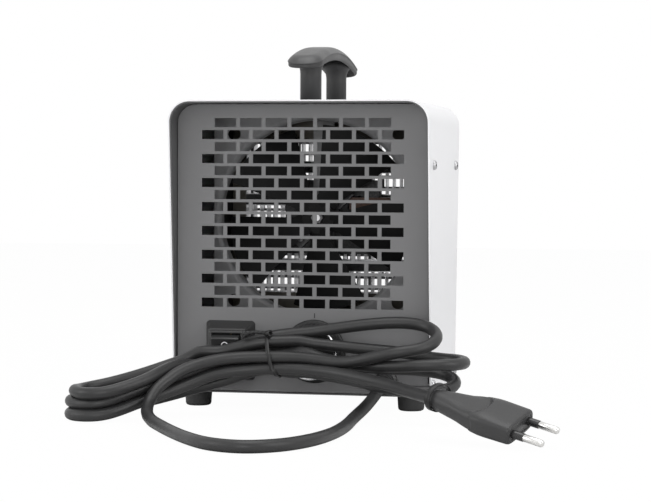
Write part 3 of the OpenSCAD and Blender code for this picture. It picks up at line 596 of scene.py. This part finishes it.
def make_handle():
    """An arched grip with a flat crown, round shoulders and a hollow underside, on two posts."""
    low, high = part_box("handle")
    middle = (low.x + high.x) / 2
    half_width, half_length, _ = half_size("handle")
    shape = bmesh.new()
    rings = []
    for inset, drop in [(half_width, 0), *GRIP_SECTION, (half_width, 4)]:
        ring = []
        for x, y in grip_outline(inset, half_width, half_length):
            wall = WALL_MIDDLE - WALL_LOSS * (abs(y) / half_length) ** 3
            below = max(drop - RIM_DROP, 0) * wall
            radius_here = HANDLE_ARCH - min(drop, RIM_DROP) - below
            height = sqrt(radius_here ** 2 - y ** 2)
            ring.append(Vector((middle + x * MM, y * MM,
                                high.z - HANDLE_ARCH * MM + height * MM)))
        rings.append(ring)
    add_rings(shape, rings, closed_ends=False)
    bmesh.ops.remove_doubles(shape, verts=shape.verts, dist=0.01 * MM)
    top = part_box("shell")[1].z
    tall = (high.z - top) / MM - GRIP_HEIGHT
    post = [(7.0, 0), (7.75, 0.5), (7.75, tall - 13), (7.9, tall - 10.5), (8.3, tall - 8.5),
            (9.0, tall - 6.6), (10.0, tall - 5.2), (11.0, tall - 4.3), (11.0, tall + 2)]
    # the handle's screws stand in the middle of its posts
    from_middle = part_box("handle_screws")[1].y - HANDLE_SCREW_RADIUS * MM
    for y in (-from_middle, from_middle):
        add_lathe(shape, post, Matrix.Translation((middle, y, top)), 48)
    grip = make_piece("carry_handle", shape, HANDLE_PLASTIC, "case", ["handle"])
    # faces that rise little take the darker copy: painted shade
    grip.data.materials.append(HANDLE_SHADED_PLASTIC)
    for face in grip.data.polygons:
        if face.normal.z < UPWARD:
            face.material_index = 1


# ---- knob

KNOB_RIBS, STEPS_PER_RIB, KNOB_SIDES = 40, 8, 96
# The printed pointer on the face: half its width, its two ends from the axis
POINTER_HALF_WIDTH, POINTER_FROM, POINTER_TO = 0.7, 9, 16


def make_knob():
    """Skirt, ribbed drum and sunk face, turned about its own axis."""
    low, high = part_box("knob")
    middle = centre_of("knob")
    place = facing_inlet(middle.x, high.y, middle.z)
    skirt = half_size("knob")[0]
    deep = (high.y - low.y) / MM
    shape = bmesh.new()
    add_lathe(shape, [(9.5, 0.2), (skirt - 0.6, 0), (skirt, 0.7), (skirt - 0.1, 1.7),
                      (skirt - 0.9, 2.6), (20.9, 3.0), (20.4, 3.2)], place, KNOB_SIDES)
    # The drum: height, radius over the ribs, depth of the grooves between them
    drum = [(3.0, 20.6, 0.0), (3.6, 20.5, 0.55), (deep - 2.6, 19.9, 0.55), (deep - 1.6, 19.8, 0.1),
            (deep - 0.9, 19.7, 0.0), (deep - 0.75, 19.4, 0.0)]
    rings = []
    for height, radius, depth in drum:
        ring = []
        for turn in full_turn(KNOB_RIBS * STEPS_PER_RIB):
            reach = radius - depth * (0.5 - 0.5 * cos(KNOB_RIBS * turn))
            ring.append(place @ mm(reach * cos(turn), reach * sin(turn), height))
        rings.append(ring)
    add_rings(shape, rings, closed_ends=False)
    add_lathe(shape, [(19.5, deep - 0.75), (17.9, deep - 0.75), (17.4, deep - 1.0),
                      (17.0, deep - 2.4), (16.5, deep - 2.8), (6, deep - 3.0), (0.01, deep - 3.0)],
              place, KNOB_SIDES, closed_ends=False)
    make_piece("dial", shape, KNOB_PLASTIC, "knob", ["knob"])
    marker = bmesh.new()
    add_box(marker, place @ mm(-POINTER_HALF_WIDTH, POINTER_FROM, deep - 3.1),
            place @ mm(POINTER_HALF_WIDTH, POINTER_TO, deep - 2.7))
    make_piece("dial_pointer", marker, PRINT_WHITE, "knob", bevel=0.15 * MM)


# ---- switch

# Points on each corner of a rounded rectangle
CORNER_POINTS = 6
# The rocker: radius of its round ends about the pivot, reach and hollow of its face, the tilt of
# the solid at rest, and how much narrower than the solid it is on each side
ROCKER_RADIUS = 12.55
ROCKER_FACE = 6.6
ROCKER_HOLLOW = 0.8
ROCKER_TILT = radians(6)
ROCKER_SIDE_PLAY = 0.5
ROCKER_END_POINTS, ROCKER_FACE_POINTS = 6, 15
# Its rounded sides: distance from the side, how far the outline is drawn in there
ROCKER_EDGE = [(0, 0.5), (0.12, 0.15), (0.5, 0)]
# The ring and the bar printed on it: heights and sizes, how far they lie in it and stand out of it
RING_HEIGHT, RING_OUTER, RING_INNER = 5.6, 2.7, 1.9
BAR_FROM, BAR_TO, BAR_HALF_WIDTH = -8.2, -3.2, 0.42
MARK_SUNK, MARK_PROUD = -0.02, 0.12


def rounded_rectangle(half_w, half_h, radius):
    """A rounded rectangle's outline as (x, y), in the units of its sizes."""
    outline = []
    for quarter, (x, y) in enumerate(((1, 1), (-1, 1), (-1, -1), (1, -1))):
        for turn in np.linspace(quarter * pi / 2, (quarter + 1) * pi / 2, CORNER_POINTS):
            outline.append((x * (half_w - radius) + radius * cos(turn),
                            y * (half_h - radius) + radius * sin(turn)))
    return outline


def add_stack(shape, place, layers, **ends):
    """Skins rounded rectangles of (half width, half height, corner radius, height)."""
    rings = [[place @ mm(x, y, height) for x, y in rounded_rectangle(w, h, r)]
             for w, h, r, height in layers]
    add_rings(shape, rings, **ends)


def make_switch():
    """The surround on the panel and the frame in it; heights are from the panel outwards."""
    hood_low, hood_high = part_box("switch_hood")
    middle = centre_of("switch_hood")
    place = facing_inlet(middle.x, hood_high.y, middle.z)
    tall = (hood_high.y - hood_low.y) / MM
    base_w, _, base_h = half_size("switch_hood")
    shape = bmesh.new()
    add_stack(shape, place, [
        (base_w, base_h, 3.0, 0), (base_w - 0.2, base_h - 0.2, 3.0, 0.8),
        (14.4, 16.9, 2.2, tall - 1.2), (14.0, 16.4, 2.0, tall - 0.35), (13.4, 15.8, 1.8, tall),
        (12.2, 14.6, 1.2, tall), (12.2, 14.6, 1.2, 2)], closed_ends=False)
    make_piece("switch_surround", shape, HOOD_PLASTIC, "case", ["switch_hood"])

    middle = centre_of("switch_body")
    front = (hood_high.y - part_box("switch_body")[0].y) / MM
    place = facing_inlet(middle.x, hood_high.y, middle.z)
    half_w, _, half_h = half_size("switch_body")
    well_w, well_h = half_w - 2.45, half_h - 2.25
    shape = bmesh.new()
    add_stack(shape, place, [
        (half_w - 0.3, half_h - 0.3, 1.4, tall), (half_w, half_h, 1.5, tall + 0.4),
        (half_w, half_h, 1.5, front - 0.7), (half_w - 0.25, half_h - 0.25, 1.4, front - 0.15),
        (half_w - 0.7, half_h - 0.7, 1.2, front), (well_w + 0.5, well_h + 0.5, 0.9, front),
        (well_w + 0.12, well_h + 0.12, 0.7, front - 0.25), (well_w, well_h, 0.6, front - 0.9),
        (well_w, well_h, 0.6, -14), (half_w - 2.0, half_h - 1.8, 0.6, -15),
        (half_w - 2.0, half_h - 1.8, 0.6, tall)], wrap=True)
    make_piece("switch_frame", shape, SWITCH_PLASTIC, "case", ["switch_body"])
    make_rocker()


def make_rocker():
    """A rocker with a slightly hollowed face and soft edges, at the angle of the CAD one."""
    joint = next(j for j in frame["joints"] if j["name"] == "rocker_tilt")
    turn = (Matrix.Translation(Vector(joint["pos_m"])) @ Matrix.Rotation(ROCKER_TILT, 4, "X")
            @ Matrix.Rotation(pi / 2, 4, "X"))
    half_w = half_size("rocker")[0] - ROCKER_SIDE_PLAY
    radius = ROCKER_RADIUS
    edge = sqrt(radius ** 2 - ROCKER_FACE ** 2)

    def face_depth(height):
        return ROCKER_FACE - ROCKER_HOLLOW * cos(pi * height / edge / 2) ** 1.2

    def on_face(x, height, proud):
        return turn @ mm(x, height, face_depth(height) + proud)

    # Side outline, as (height, depth out of the panel): flat back, a round end, the face, and the
    # other end
    end = [(radius * cos(t), radius * sin(t))
           for t in np.linspace(0.05, asin(ROCKER_FACE / radius), ROCKER_END_POINTS)]
    outline = [(-7, -4), (7, -4), (radius - 0.2, -1), *end]
    outline += [(height, face_depth(height))
                for height in np.linspace(0.95 * edge, -0.95 * edge, ROCKER_FACE_POINTS)]
    outline += [*((-height, depth) for height, depth in end[::-1]), (-radius + 0.2, -1)]
    stations = [(-half_w + inward, shrink) for inward, shrink in ROCKER_EDGE]
    stations += [(half_w - inward, shrink) for inward, shrink in ROCKER_EDGE[::-1]]
    rings = []
    for x, shrink in stations:
        ring = []
        for height, depth in outline:
            away = hypot(height, depth)
            share = (away - shrink) / away
            ring.append(turn @ mm(x, height * share, depth * share))
        rings.append(ring)
    shape = bmesh.new()
    add_rings(shape, rings)
    make_piece("switch_rocker", shape, SWITCH_PLASTIC, "rocker", ["rocker"])

    marks = bmesh.new()
    ring_section = ((RING_OUTER, MARK_SUNK), (RING_OUTER, MARK_PROUD), (RING_INNER, MARK_PROUD),
                    (RING_INNER, MARK_SUNK))
    add_rings(marks, [[on_face(r * cos(t), RING_HEIGHT + r * sin(t), proud)
                       for t in full_turn(40)] for r, proud in ring_section], wrap=True)
    bar_section = ((-BAR_HALF_WIDTH, MARK_SUNK), (BAR_HALF_WIDTH, MARK_SUNK),
                   (BAR_HALF_WIDTH, MARK_PROUD), (-BAR_HALF_WIDTH, MARK_PROUD))
    add_rings(marks, [[on_face(x, height, proud) for x, proud in bar_section]
                      for height in np.linspace(BAR_FROM, BAR_TO, 9)])
    make_piece("switch_marks", marks, PRINT_WHITE, "rocker", flat=True)


# ---- screws

SCREW_RADIUS = 3.5
SHANK = [(1.75, -8), (1.75, 0)]
# The cross recess: reach and half width of its arms as shares of the head's radius, depth as a
# share of its height
CROSS_REACH, CROSS_HALF_WIDTH, CROSS_DEPTH = 0.74, 0.2, 0.85
# A face gets the painted shade of the recess where it lies lower in the head than this share, or
# faces out less than this
RECESS_LEVEL, RECESS_FACING = 0.55, 0.5
# How far each screw was turned, in degrees
SCREW_TURNS = [10, 40, 70, 25, 55, 3, 80, 8]


def add_cross_head(shape, place, radius, tall):
    """A low domed screw head with a cross recess."""
    arm, wide, deep = radius * CROSS_REACH, radius * CROSS_HALF_WIDTH, tall * CROSS_DEPTH
    head = bmesh.new()
    add_lathe(head, [(radius - 0.15, 0), (radius, 0.15), (radius, tall * 0.35),
                     (radius * 0.93, tall * 0.62), (radius * 0.74, tall * 0.86),
                     (radius * 0.45, tall * 0.97), (0.01, tall)], Matrix(), 48)
    solid = mesh_object("head", head)
    cutter = bmesh.new()
    add_box(cutter, mm(-arm, -wide, tall - deep), mm(arm, wide, tall + 1))
    add_box(cutter, mm(-wide, -arm, tall - deep), mm(wide, arm, tall + 1))
    cross = mesh_object("cross", cutter)
    cut = solid.modifiers.new("cut", "BOOLEAN")
    cut.object = cross
    cut.operation = "DIFFERENCE"
    cut.use_self = True
    bpy.context.view_layer.update()
    graph = bpy.context.evaluated_depsgraph_get()
    copy = bpy.data.meshes.new_from_object(solid.evaluated_get(graph))
    for thing in (solid, cross):
        bpy.data.objects.remove(thing)
    copy.transform(place)
    shape.from_mesh(copy)


def make_side_screws():
    """Four screw heads with their shanks on each side of the case."""
    low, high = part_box("side_screws")
    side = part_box("shell")[1].x
    radius = SCREW_RADIUS
    tall = (high.x - side) / MM
    shape = bmesh.new()
    places = [(x, y, z) for x in (-1, 1) for y in (low.y + radius * MM, high.y - radius * MM)
              for z in (low.z + radius * MM, high.z - radius * MM)]
    for (x, y, z), turn in zip(places, SCREW_TURNS):
        place = (Matrix.Translation((x * side, y, z)) @ Matrix.Rotation(x * pi / 2, 4, "Y")
                 @ Matrix.Rotation(radians(turn), 4, "Z"))
        add_cross_head(shape, place, radius, tall)
        add_lathe(shape, SHANK, place, 24)
    piece = make_piece("case_screws", shape, SCREW_STEEL, "case", ["side_screws"],
                       flat=True)
    # the recess faces get the near black: painted shade of the cross recesses
    piece.data.materials.append(RECESS_SHADE)
    for face in piece.data.polygons:
        proud = abs(face.center.x) - side
        nearest = min((Vector(face.center.yz) - Vector((y, z))).length for _, y, z in places)
        in_cross = proud < RECESS_LEVEL * tall * MM or abs(face.normal.x) < RECESS_FACING
        if proud > 0 and in_cross and nearest < (CROSS_REACH + 0.02) * radius * MM:
            face.material_index = 1
    smooth_by_angle(piece)


# ---- plug

PLUG_NECK = mm(119, -214, 27)
# Degrees about X, Y and Z, and then about the plug's own length
PLUG_TURN = (0, 12.7, -22)
PLUG_ROLL = 20
PLUG_LEN = 64
PLUG_SIDES = 72
# Along the plug: height, half thickness, half width, squareness of the section
PLUG_SPINE = [(0.0, 5.9, 6.3, 2), (0.8, 6.5, 6.9, 2), (6, 6.7, 7.6, 2.2), (12, 6.9, 8.8, 2.5),
              (18, 7.0, 10.2, 2.8), (24, 7.2, 12.1, 2.9), (30, 7.7, 14.1, 3.0),
              (36, 8.2, 15.6, 3.2), (41, 8.4, 16.0, 3.5), (46, 8.1, 16.1, 3.8),
              (52, 7.6, 16.0, 4.2), (58, 7.2, 15.9, 4.6), (62, 7.05, 15.8, 4.7),
              (63.4, 6.8, 15.5, 4.7), (64, 6.3, 15.0, 4.7)]
PLUG_HEIGHTS = [*range(63), 62.8, 63.4, 63.8, 64]
# Finger scoops in the flat faces and in the edges: half width, beginning, end and depth, and how
# far they reach towards the corners of the section
FLAT_SCOOP, FLAT_FADE = (10.5, 14, 41, 2.0), 1.2
EDGE_SCOOP, EDGE_FADE = (7.6, 8, 37, 0.9), 1.1
# The raised rim round the pins, as add_stack's layers, heights from the plug's end
FACE_RIM = [(14.4, 5.5, 4.6, -0.3), (14.4, 5.5, 4.6, 0), (14.0, 5.1, 4.3, 0.25),
            (13.3, 4.4, 3.8, 0.25), (13.1, 4.2, 3.7, -0.3)]
# The pins: distance of each from the middle, depth of their roots in the plug, their outline
PIN_OFFSET = 9.5
PIN_ROOT = 8
PIN = [(2.4, 0), (2.4, 28), (2.25, 29), (1.8, 29.7), (1.0, 30.0), (0.01, 30.0)]


def plug_place():
    """The plug's own frame: its Z axis runs along it, from the cord to the pins."""
    turn = Euler([radians(angle) for angle in PLUG_TURN], "XYZ").to_matrix().to_4x4()
    return (Matrix.Translation(PLUG_NECK) @ turn @ Matrix.Rotation(pi / 2, 4, "Y")
            @ Matrix.Rotation(radians(PLUG_ROLL), 4, "Z"))


def scoop_depth(height, across, half_width, back, front, depth):
    """Depth of a finger scoop: it deepens towards the pins and ends in a crisp, bowed edge."""
    across /= half_width
    edge = front - 5 * across ** 2
    if abs(across) >= 1 or not back < height < edge:
        return 0.0
    return depth * ((height - back) / (edge - back)) ** 1.5 * (1 - across ** 2) ** 0.5


def make_plug():
    """Moulding, the rim on its face, and the pins; returned with the CAD pin sleeves."""
    place = plug_place()
    columns = np.array(PLUG_SPINE, float)
    rings = []
    for height in PLUG_HEIGHTS:
        thick, wide, square = (np.interp(height, columns[:, 0], columns[:, k]) for k in (1, 2, 3))
        ring = []
        for turn in full_turn(PLUG_SIDES):
            c, s = cos(turn), sin(turn)
            x = thick * copysign(abs(c) ** (2 / square), c)
            y = wide * copysign(abs(s) ** (2 / square), s)
            flat = min(1, abs(x) / thick * FLAT_FADE)
            edge = min(1, abs(y) / wide * EDGE_FADE)
            x -= copysign(scoop_depth(height, y, *FLAT_SCOOP), x) * flat
            y -= copysign(scoop_depth(height, x, *EDGE_SCOOP), y) * edge
            ring.append(place @ mm(x, y, height))
        rings.append(ring)
    shape = bmesh.new()
    add_rings(shape, rings)
    body = make_piece("plug_moulding", shape, PLUG_RUBBER, "case", ["plug_body"])
    rim = bmesh.new()
    add_stack(rim, place @ Matrix.Rotation(pi / 2, 4, "Z"),
              [(w, h, r, PLUG_LEN + rise) for w, h, r, rise in FACE_RIM], wrap=True)
    face = make_piece("plug_face_rim", rim, PLUG_RUBBER, "case")
    pins = bmesh.new()
    for side in (-1, 1):
        at = place @ Matrix.Translation(mm(0, side * PIN_OFFSET, PLUG_LEN - PIN_ROOT))
        add_lathe(pins, PIN, at, 32)
    contacts = make_piece("plug_contacts", pins, NICKEL, "case", ["plug_pins"])
    return [body, face, contacts, frame["nodes"]["pin_sleeves"]]


# ---- ties and strain relief

# A ribbon's section, in half widths and half thicknesses
RIBBON = [(-1, -0.6), (-0.92, -1), (0.92, -1), (1, -0.6), (1, 0.6), (0.92, 1), (-0.92, 1),
          (-1, 0.6)]
# The twist tie: how far it stands off the strands' middles, width and thickness of its loop and of
# its twisted ends, where the loop's top is beside TIE_X, how far its foot leans from there, and the
# number and the steps of the twists
TIE_MARGIN = (CORD_D / 2 + 0.5) * MM
TIE_LOOP = (2.6 * MM, 0.7 * MM)
TIE_END = (2.2 * MM, 0.6 * MM)
TIE_TOP, TIE_LEAN = 1.5, 10
TIE_TWISTS, TIE_STEPS = 3.5, 60
HULL_STEPS = 72
# At the tie the hank's strands lie above and behind these, and the front loop does not
HANK_LOWEST, HANK_FOREMOST = 20, -135
NECK_BAND = (3.6 * MM, 0.9 * MM)
# The gland's flange, as add_lathe's profile out of the panel
GLAND_FLANGE = [(4.2, -6), (6.5, -6), (6.5, 0), (8.0, 0), (8.0, 1.9), (7.5, 2.5), (6.6, 2.7),
                (6.3, 4), (4.2, 4)]
# The sleeve over the lead: distance from the panel, points of the lead under it, rings of its mesh,
# radius at the panel, loss of it to the end; its grooves: depth, number, the shares of its length
# between which they lie, and the level of their wave under which they are cut
SLEEVE_START, SLEEVE_POINTS, SLEEVE_RINGS = 3, 12, 66
SLEEVE_RADIUS, SLEEVE_TAPER = 6.3, 1.9
GROOVE_DEPTH, GROOVES, GROOVES_FROM, GROOVES_TO, GROOVE_LEVEL = 0.45, 5, 0.12, 0.9, -0.2


def add_band(shape, points, across, width, thick):
    """A flat ribbon along points; across gives, for each point, the way of the ribbon's width."""
    rings = []
    last = len(points) - 1
    for i, point in enumerate(points):
        ahead = (points[min(i + 1, last)] - points[max(i - 1, 0)]).normalized()
        wide = (across[i] - ahead * across[i].dot(ahead)).normalized()
        above = ahead.cross(wide).normalized()
        rings.append([point + wide * (w * width / 2) + above * (h * thick / 2) for w, h in RIBBON])
    add_rings(shape, rings)


def hull_round(points, margin):
    """Outline of a rubber band round circles, from the outermost reach in each direction."""
    middle = sum(points, Vector((0, 0))) / len(points)
    ways = [Vector((cos(turn), sin(turn))) for turn in full_turn(HULL_STEPS)]
    reaches = [max((p - middle).dot(way) for p in points) + margin for way in ways]
    # where the band touches each tangent follows from the change between the neighbours
    loop = []
    for i, (way, reach) in enumerate(zip(ways, reaches)):
        change = reaches[(i + 1) % HULL_STEPS] - reaches[i - 1]
        slope = change / (2 * 2 * pi / HULL_STEPS)
        loop.append(middle + way * reach + Vector((-way.y, way.x)) * slope)
    return loop


def strands_at(path, x):
    """Where the hank crosses the plane at x, as (y, z) in metres."""
    found = []
    for a, b in zip(path, path[1:]):
        if (a[0] - x) * (b[0] - x) <= 0 and a[0] != b[0] and a[1] > HANK_FOREMOST:
            point = a + (x - a[0]) / (b[0] - a[0]) * (b - a)
            if point[2] > HANK_LOWEST:
                found.append(Vector((point[1] * MM, point[2] * MM)))
    return found


def make_hank_tie(path):
    """A twist tie pulled round the seven strands, with its two ends twisted together."""
    loop = hull_round(strands_at(path, TIE_X), TIE_MARGIN)
    highest, lowest = max(p.y for p in loop), min(p.y for p in loop)
    points = []
    for i, p in enumerate(loop):
        x = TIE_X + TIE_TOP + TIE_LEAN * (highest - p.y) / (highest - lowest)
        here = hull_round(strands_at(path, x), TIE_MARGIN)[i]
        points.append(Vector((x * MM, here.x, here.y)))
    points += points[:3]
    shape = bmesh.new()
    add_band(shape, points, [Vector((1, 0.1, 0.2))] * len(points), *TIE_LOOP)
    # the ends leave from the upper front and lie to the left, over the strands
    top = max(points, key=lambda p: p.z - 0.6 * p.y)
    start = Vector((top.x, top.y - 0.5 * MM, top.z))
    for phase in (0, pi):
        line, across = [], []
        for s in np.linspace(0, 1, TIE_STEPS):
            centre = start + mm(3 - 19 * s, -3 * s, 1.2 + 2 * sin(2.6 * s) - 1.2 * s * s)
            angle = 2 * pi * TIE_TWISTS * s + phase
            # they part where they leave the loop and again at their tips
            spread = 0.8 + 1.5 * max(0, 0.3 - s) * 3.3 + 2.0 * max(0, s - 0.72) * 3.6
            line.append(centre + Vector((0, cos(angle), sin(angle))) * (spread * MM))
            across.append(Vector((0.2, -sin(angle), cos(angle))))
        add_band(shape, line, across, *TIE_END)
    return make_piece("hank_twist_tie", shape, TIE_PLASTIC, "case", ["hank_tie"])


def make_plug_tie():
    """The oval band round the lead at the plug's neck."""
    place = plug_place()
    shape = bmesh.new()
    points = [place @ mm(-1.0 + 8.4 * cos(turn), 1.2 + 10.4 * sin(turn),
                         2.2 + 2.2 * sin(turn + 0.7)) for turn in np.linspace(0, 2 * pi, 61)]
    axis = (place.to_3x3() @ Vector((0, 0, 1))).normalized()
    add_band(shape, points, [axis] * len(points), *NECK_BAND)
    return make_piece("plug_band", shape, TIE_PLASTIC, "case", ["plug_ring"])


def make_strain_relief(path):
    """Gland flange and a ribbed tapered sleeve that follows the first bend of the lead."""
    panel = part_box("inlet_panel")[0].y
    exit_x, _, exit_z = mm(*LEAD_ROUTE[0])
    shape = bmesh.new()
    add_lathe(shape, GLAND_FLANGE, facing_inlet(exit_x, panel, exit_z), 48, closed_ends=False)
    start = next(i for i, p in enumerate(path) if p[1] * MM < panel - SLEEVE_START * MM)
    run = path[start:start + SLEEVE_POINTS]
    marks = np.linspace(0, len(run) - 1.001, SLEEVE_RINGS)
    rings = []
    for mark in marks:
        i = int(mark)
        centre = Vector(run[i] + (mark - i) * (run[i + 1] - run[i])) * MM
        ahead = Vector(run[i + 1] - run[i]).normalized()
        aside = ahead.cross(Vector((0, 0, 1))).normalized()
        above = aside.cross(ahead)
        share = mark / marks[-1]
        radius = SLEEVE_RADIUS - SLEEVE_TAPER * share
        wave = sin(share * GROOVES * 2 * pi)
        if GROOVES_FROM < share < GROOVES_TO and wave < GROOVE_LEVEL:
            radius -= GROOVE_DEPTH
        rings.append([centre + (aside * cos(turn) + above * sin(turn)) * radius * MM
                      for turn in full_turn(32)])
    add_rings(shape, rings)
    return make_piece("strain_relief", shape, HOOD_PLASTIC, "case", ["gland"])


# ---- small print

# Gap of the printed stroke over the knob, its height and half width, and how far it stands out of
# the panel and lies in it
INDEX_GAP, INDEX_TALL, INDEX_HALF = 0.9 * MM, 3.5 * MM, 0.4 * MM
INDEX_PROUD, INDEX_SUNK = 0.05 * MM, 0.02 * MM


def make_index_mark():
    """The printed stroke on the panel above the knob."""
    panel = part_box("inlet_panel")[0].y
    knob_low, knob_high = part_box("knob")
    x = (knob_low.x + knob_high.x) / 2
    low = knob_high.z + INDEX_GAP
    shape = bmesh.new()
    add_box(shape, (x - INDEX_HALF, panel - INDEX_PROUD, low),
            (x + INDEX_HALF, panel + INDEX_SUNK, low + INDEX_TALL))
    make_piece("index_mark", shape, PRINT_BLACK, "case", flat=True)


# ---- floor and light

# The floor's side in metres, its grey, and the share of plain white in what the camera sees of it
FLOOR_SIZE = 6.0
FLOOR_TONE = 0.86
FLOOR_GLOW = 0.975
# Strength of the white surroundings on surfaces, and where the camera or a reflection sees them
AMBIENT, SEEN = 0.45, 1.0
# Disk lamps, all aimed at one point: name, place, size in metres, power in watts
LAMP_AIM = Vector((0, 0, 0.1))
LAMPS = [
    ("top_light", (0.1, -0.3, 1.7), 1.4, 15), ("front_light", (-0.5, -1.9, 1.0), 1.2, 3),
    ("low_light", (0.1, -1.9, 0.10), 0.9, 9), ("left_light", (-1.7, -0.8, 0.7), 1.0, 8),
    ("side_light", (1.7, -0.7, 0.8), 1.2, 12),
]


def make_floor():
    """A matt floor that the camera sees nearly as plain white."""
    bpy.ops.mesh.primitive_plane_add(size=FLOOR_SIZE, location=(0, 0, 0))
    floor = bpy.context.object
    floor.name = "floor"
    material, tree, shader = new_material("floor")
    feed(tree, shader, {"Base Color": (FLOOR_TONE, FLOOR_TONE, FLOOR_TONE, 1), "Roughness": 0.7})
    rays = add_node(tree, "LightPath", {}).outputs
    share = math_node(tree, "MULTIPLY", rays["Is Camera Ray"], FLOOR_GLOW)
    glow = add_node(tree, "Emission", {}).outputs["Emission"]
    mix = add_node(tree, "MixShader", {"Fac": share, 1: shader.outputs["BSDF"], 2: glow})
    feed(tree, tree.nodes["Material Output"], {"Surface": mix.outputs["Shader"]})
    dress(floor, material)


def make_world():
    """White surroundings, dimmer as a light than they look."""
    world = bpy.data.worlds.new("studio")
    bpy.context.scene.world = world
    world.use_nodes = True
    tree = world.node_tree
    rays = add_node(tree, "LightPath", {}).outputs
    seen = math_node(tree, "MAXIMUM", rays["Is Camera Ray"], rays["Is Glossy Ray"])
    seen = math_node(tree, "MAXIMUM", seen, rays["Is Transmission Ray"])
    strength = add_node(tree, "MapRange", {"Value": seen, "To Min": AMBIENT, "To Max": SEEN})
    feed(tree, tree.nodes["Background"], {"Color": (1, 1, 1, 1),
                                          "Strength": strength.outputs["Result"]})


def make_lights():
    """The disk lamps."""
    for name, place, size, power in LAMPS:
        data = bpy.data.lights.new(name, "AREA")
        data.shape = "DISK"
        data.size = size
        data.energy = power
        lamp = add_object(name, data)
        lamp.location = place
        lamp.rotation_euler = (LAMP_AIM - Vector(place)).to_track_quat("-Z", "Y").to_euler()


# ---- the whole scene

bpy.context.scene.view_settings.view_transform = "Standard"
make_camera()
lead, lead_path, lead_length = make_cord()
plug_pieces = make_plug()
plug_pieces.append(make_plug_tie())
relief = make_strain_relief(lead_path)
tie = make_hank_tie(lead_path)
dress_cad_nodes()
make_handle()
make_knob()
make_switch()
make_side_screws()
make_index_mark()
make_floor()
make_world()
make_lights()
